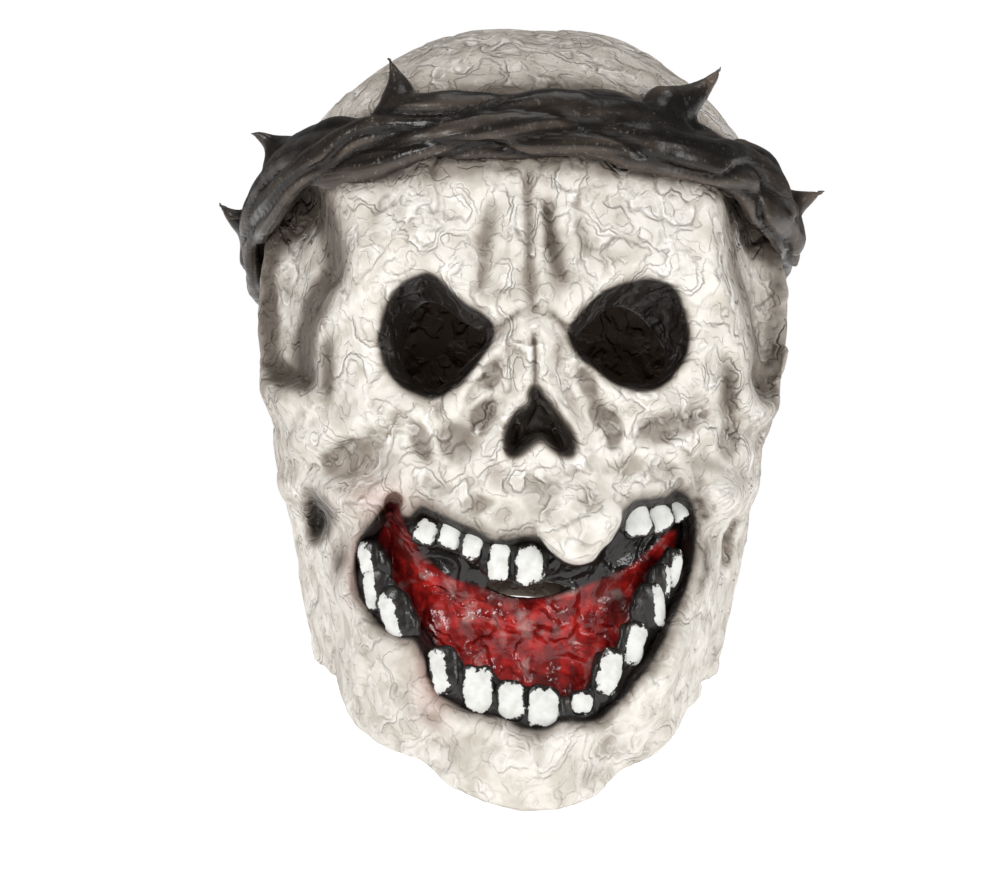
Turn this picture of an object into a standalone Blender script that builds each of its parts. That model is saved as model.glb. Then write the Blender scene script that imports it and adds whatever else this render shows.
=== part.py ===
"""Skull mask of cast latex: a two-piece skull skin, a jaw skin that drops with the wearer's chin,
black gums with separate teeth, a mouth lining with a breathing slit, and a twisted bramble circlet.

Metres, +Z up. The face looks along -Y and the wearer's right is -X. The origin is the middle of the
head cavity, in the mid-plane and level with the middle of the eye holes.
"""
import math

import bmesh
import bpy
from mathutils import Vector

# ---- driving dimensions -------------------------------------------------------------------------
WALL = 0.0025                  # latex skin
SEAM_GAP = 0.0005              # between pieces glued edge to edge
SEAT_GAP = 0.0004              # between a piece and what it is glued on

HALF_WIDTH = 0.099             # skull skin, widest at the temples
FRONT_DEPTH = 0.108            # origin to the brow
BACK_DEPTH = 0.117             # origin to the back of the head
CROWN_HEIGHT = 0.116           # origin to the top of the dome
CHIN_DROP = 0.167              # origin to the chin's rim
NAPE_DROP = 0.098              # origin to the rim at the nape
DOME_EXPONENT = 2.25           # how square the dome's profile is; 2 is an ellipse
SECTION_EXPONENT = 2.35        # how square each level section is

SEAM_BACK = 0.028              # the seam between the front and rear skins, behind the origin
HINGE_BACK = 0.0               # the jaw turns about the wearer's own jaw joints
HINGE_DROP = 0.035
HUB_RADIUS = 0.010             # skin left standing round the hinge axis
JAW_OPENING = math.radians(8)  # how far the chin can pull the jaw skin down
JAW_REAR_ANGLE = math.radians(80)   # the jaw skin's rear edge, below forward
WEB_ANGLE = JAW_OPENING + math.radians(4)   # the stretching web behind the jaw skin

EYE_ACROSS = 0.0318            # mid-plane to the middle of an eye hole
EYE_HOLE_WIDTH = 0.031
EYE_HOLE_HEIGHT = 0.032
SOCKET_DEPTH = 0.019
NOSTRIL_ACROSS = 0.0065
NOSTRIL_DROP = 0.038
NOSTRIL_WIDTH = 0.007
NOSTRIL_HEIGHT = 0.013

MOUTH_CORNER_ACROSS = 0.058    # the mouth opening in the skin
MOUTH_CORNER_DROP = 0.071
MOUTH_TOP_DROP = 0.0735        # its upper edge, in the mid-plane
MOUTH_BOTTOM_DROP = 0.1415     # its lower edge, in the mid-plane
MOUTH_SKEW = 0.004             # how far its lower edge is drawn towards +X
ARCH_FRONT = 0.107             # origin to the tooth rows, in the mid-plane
ARCH_SWEEP = 0.034             # how far the rows run back at the mouth's corners
TOOTH_THICKNESS = 0.005
UPPER_GUM_HEIGHT = 0.009
LOWER_GUM_HEIGHT = 0.013
GUM_THICKNESS = 0.007
LINING_THICKNESS = 0.0015
LINING_HOLLOW = 0.005          # how far its middle is drawn back towards the wearer's mouth
SLIT_WIDTH = 0.032
SLIT_HEIGHT = 0.008
SLIT_DROP = 0.0935

CIRCLET_FRONT_RISE = 0.073     # the circlet's middle line above the origin, at the brow
CIRCLET_BACK_RISE = 0.010      # and at the back of the head
CIRCLET_HEIGHT = 0.024
CIRCLET_THICKNESS = 0.009
CIRCLET_STEMS = 3
CIRCLET_TWISTS = 4             # whole turns of the stems round each other in one lap

# Below eye level: share of CHIN_DROP, of HALF_WIDTH, of FRONT_DEPTH, of BACK_DEPTH
LOWER_SECTIONS = (
    (0.00, 1.000, 1.000, 1.000),
    (0.12, 0.975, 1.000, 0.950),
    (0.24, 0.930, 1.020, 0.890),
    (0.36, 0.889, 1.040, 0.820),
    (0.48, 0.838, 1.046, 0.755),
    (0.60, 0.785, 1.046, 0.700),
    (0.72, 0.735, 1.040, 0.660),
    (0.84, 0.650, 1.030, 0.620),
    (1.00, 0.430, 0.990, 0.560),
)
# The rim: degrees round from the chin, share of the way up from the chin to the nape
RIM = ((0, 0.0), (15, 0.06), (30, 0.20), (45, 0.35), (60, 0.48), (75, 0.58), (90, 0.67),
       (110, 0.78), (135, 0.91), (180, 1.0))
# Modelling of the face: across, up, reach across, reach up, depth inwards (all in metres)
RELIEF = (
    (EYE_ACROSS, 0.000, 0.026, 0.027, SOCKET_DEPTH),
    (0.040, 0.036, 0.030, 0.013, -0.006),
    (0.000, 0.004, 0.012, 0.026, -0.008),
    (0.000, -0.036, 0.014, 0.016, 0.011),
    (0.058, -0.046, 0.020, 0.015, -0.006),
    (0.072, -0.060, 0.013, 0.012, -0.006),
    (0.000, -0.064, 0.034, 0.014, -0.005),
    (0.000, -0.156, 0.028, 0.014, -0.006),
)
TEMPLE_UP, TEMPLE_FORWARD, TEMPLE_REACH, TEMPLE_DEPTH = 0.004, 0.052, 0.030, 0.010

# Teeth: across, drop, width, height, lean in degrees
UPPER_TEETH = (
    (-0.0345, 0.0700, 0.0085, 0.0100, 30), (-0.0250, 0.0725, 0.0075, 0.0100, 22),
    (-0.0170, 0.0750, 0.0080, 0.0105, 15), (-0.0075, 0.0805, 0.0095, 0.0140, 4),
    (0.0035, 0.0820, 0.0100, 0.0145, -3), (0.0405, 0.0655, 0.0100, 0.0130, -22),
    (0.0490, 0.0640, 0.0090, 0.0120, -32), (0.0570, 0.0610, 0.0060, 0.0090, -30),
)
LOWER_TEETH = (
    (-0.0535, 0.0790, 0.0060, 0.0100, -12), (-0.0505, 0.0920, 0.0060, 0.0120, -12),
    (-0.0435, 0.1060, 0.0070, 0.0140, -20), (-0.0265, 0.1200, 0.0100, 0.0160, -14),
    (-0.0142, 0.1260, 0.0110, 0.0160, -5), (-0.0020, 0.1300, 0.0100, 0.0140, -4),
    (0.0095, 0.1325, 0.0112, 0.0145, 2), (0.0215, 0.1310, 0.0085, 0.0080, 5),
    (0.0315, 0.1200, 0.0092, 0.0160, 14), (0.0405, 0.1105, 0.0080, 0.0160, 14),
    (0.0475, 0.0985, 0.0070, 0.0130, 12), (0.0515, 0.0860, 0.0060, 0.0100, 14),
    (0.0560, 0.0755, 0.0060, 0.0095, 16),
)
# Thorns: degrees round from the brow towards +X, degrees up the stem's side, length, base, sweep
THORNS = (
    (-31, 68, 0.014, 0.012, 8), (-70, 66, 0.013, 0.012, 25), (-98, 52, 0.013, 0.012, 30),
    (36, 66, 0.016, 0.012, -14), (70, -40, 0.013, 0.013, -10), (92, 50, 0.014, 0.012, -25),
    (132, 45, 0.013, 0.012, -15), (176, 60, 0.014, 0.012, 10), (-140, 45, 0.013, 0.012, 15),
)

COLUMNS = 60                   # facets round the skull skin
DOME_ROWS = 9
FACE_ROWS = 17
CIRCLET_STATIONS = 84
CURVE_FACETS = 16              # facets of a round opening


# ---- small helpers ------------------------------------------------------------------------------
def along(table, x, column=1):
    """Smooth value of a table's column at x, through its rows by cubic Hermite spans."""
    rows = [(row[0], row[column]) for row in table]
    x = min(max(x, rows[0][0]), rows[-1][0])
    k = max(i for i in range(len(rows) - 1) if rows[i][0] <= x)
    (x0, y0), (x1, y1) = rows[k], rows[k + 1]

    def slope(i):
        low, high = max(i - 1, 0), min(i + 1, len(rows) - 1)
        return (rows[high][1] - rows[low][1]) / (rows[high][0] - rows[low][0])

    span = x1 - x0
    t = (x - x0) / span
    return ((2 * t**3 - 3 * t**2 + 1) * y0 + (t**3 - 2 * t**2 + t) * span * slope(k)
            + (-2 * t**3 + 3 * t**2) * y1 + (t**3 - t**2) * span * slope(k + 1))


def signed_power(value, exponent):
    return math.copysign(abs(value) ** exponent, value)


def material(name, colour, roughness):
    made = bpy.data.materials.new(name)
    made.use_nodes = True
    shader = made.node_tree.nodes["Principled BSDF"]
    shader.inputs["Base Color"].default_value = (*colour, 1)
    shader.inputs["Roughness"].default_value = roughness
    shader.inputs["Metallic"].default_value = 0
    return made


def link(name, mesh_data, finish=None):
    obj = bpy.data.objects.new(name, mesh_data)
    bpy.context.scene.collection.objects.link(obj)
    if finish:
        mesh_data.materials.append(finish)
    return obj


def mesh_object(name, points, faces, finish=None):
    """A closed or open mesh with its normals turned outwards and smooth shading."""
    made = bmesh.new()
    verts = [made.verts.new(p) for p in points]
    for face in faces:
        made.faces.new([verts[i] for i in face])
    bmesh.ops.recalc_face_normals(made, faces=made.faces)
    data = bpy.data.meshes.new(name)
    made.to_mesh(data)
    made.free()
    data.shade_smooth()
    return link(name, data, finish)


def rings_to_faces(rings, size, closed=False):
    """Quads that bridge successive rings of the same size; the ends are capped unless closed."""
    faces = []
    for i in range(rings if closed else rings - 1):
        here, there = i * size, (i + 1) % rings * size
        faces += [(here + k, here + (k + 1) % size, there + (k + 1) % size, there + k)
                  for k in range(size)]
    if not closed:
        faces += [tuple(range(size)), tuple(range((rings - 1) * size, rings * size))]
    return faces


def cutter(name, outline, low, high, axis="X"):
    """A prism of an outline, from low to high along X or Y, that only cuts."""
    def place(a, b, along_axis):
        return (along_axis, a, b) if axis == "X" else (a, along_axis, b)

    points = [place(a, b, end) for end in (low, high) for a, b in outline]
    obj = mesh_object(name, points, rings_to_faces(2, len(outline)))
    obj.hide_render = True
    obj.display_type = "WIRE"
    return obj


def boolean(obj, other, operation):
    step = obj.modifiers.new(operation.title() + " " + other.name, "BOOLEAN")
    step.operation = operation
    step.object = other
    step.solver = "MANIFOLD"


def ellipse(across, up, width, height):
    return [(across + width / 2 * math.cos(a), up + height / 2 * math.sin(a))
            for a in (2 * math.pi * k / CURVE_FACETS for k in range(CURVE_FACETS))]


# ---- the skull's outer form ---------------------------------------------------------------------
def section(z):
    """(half width, front, back) of the level section at height z."""
    if z >= 0:
        share = max(0.0, 1 - (z / CROWN_HEIGHT) ** DOME_EXPONENT) ** (1 / DOME_EXPONENT)
        return HALF_WIDTH * share, FRONT_DEPTH * share, BACK_DEPTH * share
    drop = -z / CHIN_DROP
    return (HALF_WIDTH * along(LOWER_SECTIONS, drop, 1),
            FRONT_DEPTH * along(LOWER_SECTIONS, drop, 2),
            BACK_DEPTH * along(LOWER_SECTIONS, drop, 3))


def skin_point(angle, z):
    """The plain form at an angle round from the face towards +X, before the face is modelled."""
    half, front, back = section(z)
    power = 2 / SECTION_EXPONENT
    fore = signed_power(math.cos(angle), power)
    return Vector((half * signed_power(math.sin(angle), power),
                   -fore * (front if fore > 0 else back), z))


def rim_height(angle):
    share = along(RIM, abs(math.degrees(angle)))
    return -CHIN_DROP + share * (CHIN_DROP - NAPE_DROP)


def relief(x, z):
    """How far the face's skin is pushed back at a point of the front view."""
    depth = 0
    for across, up, reach_x, reach_z, inwards in RELIEF:
        for side in ((-1, 1) if across else (1,)):
            r2 = ((x - side * across) / reach_x) ** 2 + ((z - up) / reach_z) ** 2
            depth += inwards * math.exp(-r2)
    return depth


def modelled(point):
    """The plain form's point with the face and the temples modelled."""
    x, y, z = point
    temple = ((y + TEMPLE_FORWARD) ** 2 + (z - TEMPLE_UP) ** 2) / TEMPLE_REACH ** 2
    side = min(1, max(0, (abs(x) / HALF_WIDTH - 0.75) / 0.1))
    x -= math.copysign(TEMPLE_DEPTH * side * math.exp(-temple), x)
    facing = min(1, max(0, -y / FRONT_DEPTH / 0.6))
    return Vector((x, y + relief(x, z) * facing, z))


def column_angle(k):
    """Column angles, closer together over the face than at the back."""
    t = 2 * k / COLUMNS - 1
    return math.pi * (0.55 * t + 0.45 * t**3)


def skull_shell(name, finish):
    """The whole skin, open at the rim, as one mesh thickened inwards."""
    points, faces = [Vector((0, 0, CROWN_HEIGHT))], []
    for row in range(1, DOME_ROWS + FACE_ROWS + 1):
        for k in range(COLUMNS):
            angle = column_angle(k)
            if row <= DOME_ROWS:
                turn = math.pi / 2 * row / DOME_ROWS
                z = CROWN_HEIGHT * max(0.0, math.cos(turn)) ** (2 / DOME_EXPONENT)
                z = 0.0 if row == DOME_ROWS else z
            else:
                z = rim_height(angle) * (row - DOME_ROWS) / FACE_ROWS
            points.append(modelled(skin_point(angle, z)))
    faces += [(0, 1 + k, 1 + (k + 1) % COLUMNS) for k in range(COLUMNS)]
    for row in range(DOME_ROWS + FACE_ROWS - 1):
        first, second = 1 + row * COLUMNS, 1 + (row + 1) * COLUMNS
        faces += [(first + k, second + k, second + (k + 1) % COLUMNS, first + (k + 1) % COLUMNS)
                  for k in range(COLUMNS)]
    obj = mesh_object(name, points, faces, finish)
    thick = obj.modifiers.new("Wall", "SOLIDIFY")
    thick.thickness = WALL
    thick.offset = -1
    thick.use_even_offset = True
    return obj


# ---- openings and the lines where the skin divides ----------------------------------------------
def mouth_outline():
    """The mouth opening in the front view: a shallow upper arc and a deep lower one."""
    outline = []
    for k in range(CURVE_FACETS + 1):
        a = math.pi * k / CURVE_FACETS
        rise = MOUTH_TOP_DROP - MOUTH_CORNER_DROP + 0.010
        outline.append((MOUTH_CORNER_ACROSS * math.cos(a),
                        -MOUTH_CORNER_DROP + 0.010 * math.sin(a) ** 0.5 - rise * math.sin(a) ** 3))
    for k in range(1, CURVE_FACETS):
        a = math.pi + math.pi * k / CURVE_FACETS
        outline.append((MOUTH_CORNER_ACROSS * math.cos(a) - MOUTH_SKEW * math.sin(a),
                        -MOUTH_CORNER_DROP
                        + (MOUTH_BOTTOM_DROP - MOUTH_CORNER_DROP) * math.sin(a)))
    return outline


def hinge_sector(start, end, inner, inset):
    """Side-view outline between two angles below forward, about the hinge, inset at both edges."""
    outer = 2 * CHIN_DROP

    def at(radius, angle, shift):
        forward, down = radius * math.cos(angle), radius * math.sin(angle)
        return (HINGE_BACK - forward + shift * math.sin(angle),
                -HINGE_DROP - down - shift * math.cos(angle))

    steps = 4
    angles = [start + (end - start) * k / steps for k in range(steps + 1)]
    shifts = [inset * (1 - 2 * k / steps) for k in range(steps + 1)]
    return ([at(outer, a, s) for a, s in zip(angles, shifts)]
            + [at(inner, a, s) for a, s in reversed(list(zip(angles, shifts)))])


def mouth_angle():
    """Below forward, from the hinge to the mouth's corner on the skin."""
    half, front, _ = section(-MOUTH_CORNER_DROP)
    share = 1 - (MOUTH_CORNER_ACROSS / half) ** SECTION_EXPONENT
    forward = front * share ** (1 / SECTION_EXPONENT) + HINGE_BACK
    return math.atan2(MOUTH_CORNER_DROP - HINGE_DROP, forward)


def face_openings():
    reach = FRONT_DEPTH + 0.05
    inside = -0.045
    cuts = [cutter("cut_mouth", mouth_outline(), -reach, inside, "Y")]
    for side, word in ((-1, "right"), (1, "left")):
        cuts.append(cutter("cut_eye_" + word,
                           ellipse(side * EYE_ACROSS, -0.002, EYE_HOLE_WIDTH, EYE_HOLE_HEIGHT),
                           -reach, inside, "Y"))
        cuts.append(cutter("cut_nostril_" + word,
                           ellipse(side * NOSTRIL_ACROSS, -NOSTRIL_DROP, NOSTRIL_WIDTH,
                                   NOSTRIL_HEIGHT), -reach, inside, "Y"))
    return cuts


def skull_skins(bone):
    """The front, rear, jaw and web pieces, divided from one skin by planes through the hinge."""
    wide = 2 * HALF_WIDTH
    lower, rear = mouth_angle(), JAW_REAR_ANGLE
    cuts = face_openings()
    moving = cutter("cut_moving", hinge_sector(lower, rear + WEB_ANGLE, HUB_RADIUS, 0),
                    -wide, wide)
    keep_jaw = cutter("keep_jaw", hinge_sector(lower, rear, HUB_RADIUS + 2 * SEAM_GAP, SEAM_GAP),
                      -wide, wide)
    half_box = [(-1, -1), (-1, 1), (0, 1), (0, -1)]
    for_front = cutter("cut_rear_half", [(SEAM_BACK - y, z) for y, z in half_box], -wide, wide)
    for_rear = cutter("cut_front_half", [(SEAM_BACK + SEAM_GAP + y, z) for y, z in half_box],
                      -wide, wide)

    front = skull_shell("skull_front", bone)
    for cut in (for_front, moving, *cuts):
        boolean(front, cut, "DIFFERENCE")
    back = skull_shell("skull_rear", bone)
    boolean(back, for_rear, "DIFFERENCE")
    jaw = skull_shell("jaw_skin", bone)
    boolean(jaw, keep_jaw, "INTERSECT")
    boolean(jaw, cuts[0], "DIFFERENCE")
    for side, word in ((-1, "right"), (1, "left")):
        keep_web = cutter("keep_web_" + word,
                          hinge_sector(rear, rear + WEB_ANGLE, 2 * HUB_RADIUS, SEAM_GAP),
                          *sorted((0, side * wide)))
        web = skull_shell("cheek_web_" + word, bone)
        boolean(web, keep_web, "INTERSECT")


# ---- mouth --------------------------------------------------------------------------------------
def arch_across(x):
    """Direction along the tooth rows at a distance across."""
    return Vector((1, 2 * ARCH_SWEEP * x / MOUTH_CORNER_ACROSS ** 2, 0)).normalized()


def arch_point(x, z, back=0.0):
    """A point of the tooth rows, set back square to them."""
    across = arch_across(x)
    y = -ARCH_FRONT + ARCH_SWEEP * (x / MOUTH_CORNER_ACROSS) ** 2
    return Vector((x - back * across.y, y + back * across.x, z))


def row_point(teeth, share, drop=0.0, back=0.0):
    """A point of a tooth row's smooth middle line, a share of the way along its teeth."""
    number = share * (len(teeth) - 1)
    across = along([(k, values[0]) for k, values in enumerate(teeth)], number)
    up = -along([(k, values[1]) for k, values in enumerate(teeth)], number)
    return arch_point(across, up - drop, back)


def sweep_row(name, teeth, drop, height, back, finish):
    """A gum: a rounded strip that follows its row of teeth, set behind them."""
    stations, sides = 23, 8
    points = []
    for i in range(stations):
        share = i / (stations - 1)
        middle = row_point(teeth, share, drop, back)
        along_row = (row_point(teeth, min(1, share + 0.02), drop, back)
                     - row_point(teeth, max(0, share - 0.02), drop, back)).normalized()
        across = arch_across(row_point(teeth, share).x)
        inwards = Vector((-across.y, across.x, 0))
        upwards = inwards.cross(along_row).normalized()
        taper = 0.55 if i in (0, stations - 1) else 1
        for k in range(sides):
            a = 2 * math.pi * k / sides
            points.append(middle + inwards * (taper * GUM_THICKNESS / 2 * math.cos(a))
                          + upwards * (taper * height / 2 * math.sin(a)))
    return mesh_object(name, points, rings_to_faces(stations, sides), finish)


def tooth(name, across, drop, width, height, lean, finish):
    """A peg with rounded ends, leaning in the plane of its gum."""
    levels = ((-0.50, 0.62), (-0.38, 0.92), (0.0, 1.0), (0.36, 0.86), (0.50, 0.50))
    sides = 8
    points = [Vector((share * width / 2 * math.cos(a), share * TOOTH_THICKNESS / 2 * math.sin(a),
                      level * height))
              for level, share in levels
              for a in (2 * math.pi * (k + 0.5) / sides for k in range(sides))]
    obj = mesh_object(name, points, rings_to_faces(len(levels), sides), finish)
    obj.location = arch_point(across, -drop)
    row = arch_across(across)
    obj.rotation_euler = (0, math.radians(lean), math.atan2(row.y, row.x))
    return obj


def lining(finish):
    """The red membrane behind both gums, hollowed between them, with the breathing slit."""
    columns, rows = 23, 9
    back = TOOTH_THICKNESS / 2 + GUM_THICKNESS + 4 * SEAM_GAP
    upper = [(values[0], -values[1]) for values in UPPER_TEETH]
    points = []
    for row in range(rows):
        share = row / (rows - 1)
        for k in range(columns):
            bottom = row_point(LOWER_TEETH, 0.04 + 0.92 * k / (columns - 1))
            top = along(upper, bottom.x)
            hollow = LINING_HOLLOW * math.sin(math.pi * share)
            points.append(arch_point(bottom.x, top + (bottom.z - top) * share, back + hollow))
    faces = [(row * columns + k, row * columns + k + 1, (row + 1) * columns + k + 1,
              (row + 1) * columns + k) for row in range(rows - 1) for k in range(columns - 1)]
    obj = mesh_object("mouth_lining", points, faces, finish)
    thick = obj.modifiers.new("Wall", "SOLIDIFY")
    thick.thickness = LINING_THICKNESS
    thick.offset = -1 if obj.data.polygons[0].normal.y < 0 else 1
    thick.use_even_offset = True
    slit = cutter("cut_slit", ellipse(0, -SLIT_DROP, SLIT_WIDTH, SLIT_HEIGHT), -0.13, -0.05, "Y")
    boolean(obj, slit, "DIFFERENCE")
    return obj


# ---- the bramble circlet ------------------------------------------------------------------------
def circlet_frame(angle):
    """(middle, outwards, up the side) of the circlet at an angle round from the brow."""
    mid_rise = (CIRCLET_FRONT_RISE + CIRCLET_BACK_RISE) / 2
    swing = (CIRCLET_FRONT_RISE - CIRCLET_BACK_RISE) / 2
    z = mid_rise + swing * math.cos(angle)
    step = 0.01
    here = skin_point(angle, z)
    round_way = skin_point(angle + step, z) - skin_point(angle - step, z)
    up_way = skin_point(angle, z + step * 0.1) - skin_point(angle, z - step * 0.1)
    outwards = round_way.cross(up_way).normalized()
    if outwards.dot(Vector((here.x, here.y, 0))) < 0:
        outwards = -outwards
    run = round_way.normalized()
    up_side = outwards.cross(run)
    up_side *= 1 if up_side.z > 0 else -1
    lift = CIRCLET_THICKNESS / 2 + 4 * SEAT_GAP
    return here + outwards * lift, outwards, up_side.normalized()


def circlet_stem(number, finish):
    """One of the stems: a third of the circlet's oval, turning as it goes round."""
    spread, steps = math.radians(114), 6
    points = []
    for i in range(CIRCLET_STATIONS):
        lap = i / CIRCLET_STATIONS
        middle, outwards, up_side = circlet_frame(2 * math.pi * lap - math.pi)
        turn = 2 * math.pi * (CIRCLET_TWISTS * lap + number / CIRCLET_STEMS)
        ring = [middle + outwards * (0.0015 * math.cos(turn)) + up_side * (0.0015 * math.sin(turn))]
        for k in range(steps + 1):
            a = turn + spread * (k / steps - 0.5)
            ring.append(middle + outwards * (CIRCLET_THICKNESS / 2 * math.cos(a))
                        + up_side * (CIRCLET_HEIGHT / 2 * math.sin(a)))
        points += ring
    name = "bramble_stem_" + "abc"[number]
    return mesh_object(name, points, rings_to_faces(CIRCLET_STATIONS, steps + 2, True), finish)


def thorn(number, round_angle, side_angle, length, base, sweep, finish):
    """A bent, flattened spike whose foot stands on the circlet's side."""
    angle = math.radians(round_angle)
    middle, outwards, up_side = circlet_frame(angle)
    a = math.radians(side_angle)
    foot = (middle + outwards * (CIRCLET_THICKNESS / 2 * math.cos(a))
            + up_side * (CIRCLET_HEIGHT / 2 * math.sin(a)))
    normal = (outwards * (math.cos(a) / CIRCLET_THICKNESS)
              + up_side * (math.sin(a) / CIRCLET_HEIGHT)).normalized()
    run = up_side.cross(outwards).normalized()
    other = normal.cross(run).normalized()
    bend = math.tan(math.radians(sweep))
    points, sides = [], 8
    for level, share in ((0, 1.0), (0.25, 0.66), (0.55, 0.38), (0.82, 0.18), (1, 0.05)):
        centre = foot + normal * (3 * SEAT_GAP + level * length) + run * (bend * length * level**2)
        points += [centre + run * (share * base / 2 * math.cos(t))
                   + other * (0.8 * share * base / 2 * math.sin(t))
                   for t in (2 * math.pi * k / sides for k in range(sides))]
    return mesh_object(f"thorn_{number}", points, rings_to_faces(5, sides), finish)


def main():
    for old in list(bpy.data.objects):
        bpy.data.objects.remove(old)
    bone = material("bone_latex", (0.72, 0.69, 0.64), 0.55)
    vine = material("bramble_latex", (0.035, 0.028, 0.024), 0.4)
    gum = material("gum_latex", (0.015, 0.014, 0.014), 0.3)
    enamel = material("tooth_paint", (0.9, 0.9, 0.88), 0.4)
    flesh = material("lining_latex", (0.28, 0.015, 0.018), 0.25)

    skull_skins(bone)
    behind = TOOTH_THICKNESS / 2 + GUM_THICKNESS / 2 + SEAT_GAP
    sweep_row("upper_gum", UPPER_TEETH, -0.003, UPPER_GUM_HEIGHT, behind, gum)
    sweep_row("lower_gum", LOWER_TEETH, 0.003, LOWER_GUM_HEIGHT, behind, gum)
    for row, teeth in (("upper", UPPER_TEETH), ("lower", LOWER_TEETH)):
        for number, values in enumerate(teeth, 1):
            tooth(f"{row}_tooth_{number}", *values, enamel)
    lining(flesh)
    for number in range(CIRCLET_STEMS):
        circlet_stem(number, vine)
    for number, values in enumerate(THORNS, 1):
        thorn(number, *values, vine)


main()
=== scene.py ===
"""The looks of a cast latex skull mask: cracked bone skin, bramble circlet, gums, teeth and lining.

Lengths are in metres unless a name says millimetres. The face looks along -Y, +Z is up, and +X is to
the right of someone who faces the mask.
"""
import math

import bpy
import numpy as np
import openvdb
from mathutils import Matrix, Vector


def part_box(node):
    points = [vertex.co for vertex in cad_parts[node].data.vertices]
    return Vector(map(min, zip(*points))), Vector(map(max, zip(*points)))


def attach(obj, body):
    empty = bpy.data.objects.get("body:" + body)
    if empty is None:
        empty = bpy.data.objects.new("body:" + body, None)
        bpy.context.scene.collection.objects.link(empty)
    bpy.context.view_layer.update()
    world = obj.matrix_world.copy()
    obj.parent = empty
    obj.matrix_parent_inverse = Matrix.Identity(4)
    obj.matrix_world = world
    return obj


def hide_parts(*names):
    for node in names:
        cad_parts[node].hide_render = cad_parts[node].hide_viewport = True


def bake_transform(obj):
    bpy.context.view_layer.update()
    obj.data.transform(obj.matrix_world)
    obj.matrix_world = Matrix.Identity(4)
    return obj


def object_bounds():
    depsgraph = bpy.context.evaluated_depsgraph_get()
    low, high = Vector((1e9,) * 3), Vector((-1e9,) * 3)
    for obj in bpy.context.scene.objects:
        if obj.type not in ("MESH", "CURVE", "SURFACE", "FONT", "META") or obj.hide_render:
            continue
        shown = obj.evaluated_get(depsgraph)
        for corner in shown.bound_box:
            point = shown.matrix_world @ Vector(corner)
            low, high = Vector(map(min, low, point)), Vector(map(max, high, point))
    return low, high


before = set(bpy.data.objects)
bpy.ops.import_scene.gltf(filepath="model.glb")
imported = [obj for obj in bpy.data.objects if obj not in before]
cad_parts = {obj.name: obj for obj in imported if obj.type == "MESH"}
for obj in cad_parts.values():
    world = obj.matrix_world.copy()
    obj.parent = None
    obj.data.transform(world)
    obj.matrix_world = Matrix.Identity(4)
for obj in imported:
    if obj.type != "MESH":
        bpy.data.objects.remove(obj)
cad_low, cad_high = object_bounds()

# ---- Skull skin ---------------------------------------------------------------------------------
# Bone-white latex, slushed about 3 mm thick inside a two-part mould, so every hollow and ridge of the
# clay original shows. It is modelled here as the clay was: a plain head, then the face worked into it.
MM = 0.001
SKIN_WALL = 2.9 * MM
SKIN_STEP = 1.3 * MM           # size of the clay's grid
HOLES_REACH = 45 * MM          # the eyes, nostrils and mouth are cut only in front of this depth
SKIN_SECTION = 2.35            # how square a level section is; 2 is an ellipse
DOME_SECTION = 2.25            # how square the dome's profile is

front_low, front_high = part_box("skull_front")
CROWN = front_high[2]
CHIN = -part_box("jaw_skin")[0][2]
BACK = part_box("skull_rear")[1][1]
NAPE_SHARE = 98 / 167          # how far down the nape's rim is, as a share of the drop to the chin
TEMPLE = (front_high[0] - front_low[0]) / 2 + 0.5 * MM
BROW = 108 * MM
SEAM = front_high[1]

# Below eye level: share of the drop to the chin, of the half width, and of the depth of the front
# and of the back
LOWER_SKULL = (
    (0.00, 0.995, 1.000, 1.000), (0.12, 0.958, 1.000, 0.950), (0.24, 0.905, 1.020, 0.890),
    (0.36, 0.868, 1.040, 0.820), (0.48, 0.832, 1.046, 0.755), (0.60, 0.795, 1.046, 0.700),
    (0.72, 0.745, 1.040, 0.660), (0.84, 0.675, 1.030, 0.620), (1.00, 0.440, 0.990, 0.560),
)
SKULL_ASIDE = 0.7 * MM         # the skull stands this far towards +X, and its jaw hangs further out
JAW_ASIDE = 3.0 * MM
# Degrees round from the chin towards +X, share of the way up from the chin to the nape
NECK_RIM = (
    (-180, 1.0), (-135, 0.91), (-110, 0.78), (-90, 0.66), (-75, 0.57), (-62, 0.38), (-56, 0.28),
    (-45, 0.255), (-35, 0.235), (-25, 0.10), (-14, 0.04), (0, 0.0), (12, 0.01), (21, 0.04), (28, 0.08),
    (36, 0.21), (45, 0.25), (51, 0.28), (63, 0.49), (75, 0.60), (90, 0.68), (110, 0.78),
    (135, 0.91), (180, 1.0),
)


def smooth_line(points, spans=8):
    """A curve through given points, as an array of closely spaced ones."""
    p = np.array(points, float)
    p = np.vstack([2 * p[0] - p[1], p, 2 * p[-1] - p[-2]])
    t = np.arange(spans)[:, None] / spans
    spans_made = [0.5 * (2 * b + (c - a) * t + (2 * a - 5 * b + 4 * c - d) * t**2
                         + (3 * b - a - 3 * c + d) * t**3)
                  for a, b, c, d in zip(p[:-3], p[1:-2], p[2:-1], p[3:])]
    return np.vstack(spans_made + [p[-2:-1]])


def smooth_loop(points, spans=6):
    """The same for an outline that closes on itself."""
    around = list(points[-2:]) + list(points) + list(points[:2])
    return smooth_line(around, spans)[2 * spans:-spans]


def distance_to(path, x, z):
    """Distance in the front view from each point to a curve."""
    best = np.full(np.broadcast(x, z).shape, 1e3)
    for (ax, az), (bx, bz) in zip(path[:-1], path[1:]):
        dx, dz = bx - ax, bz - az
        t = np.clip(((x - ax) * dx + (z - az) * dz) / (dx * dx + dz * dz + 1e-12), 0, 1)
        best = np.minimum(best, (x - ax - t * dx) ** 2 + (z - az - t * dz) ** 2)
    return np.sqrt(best)


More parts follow.
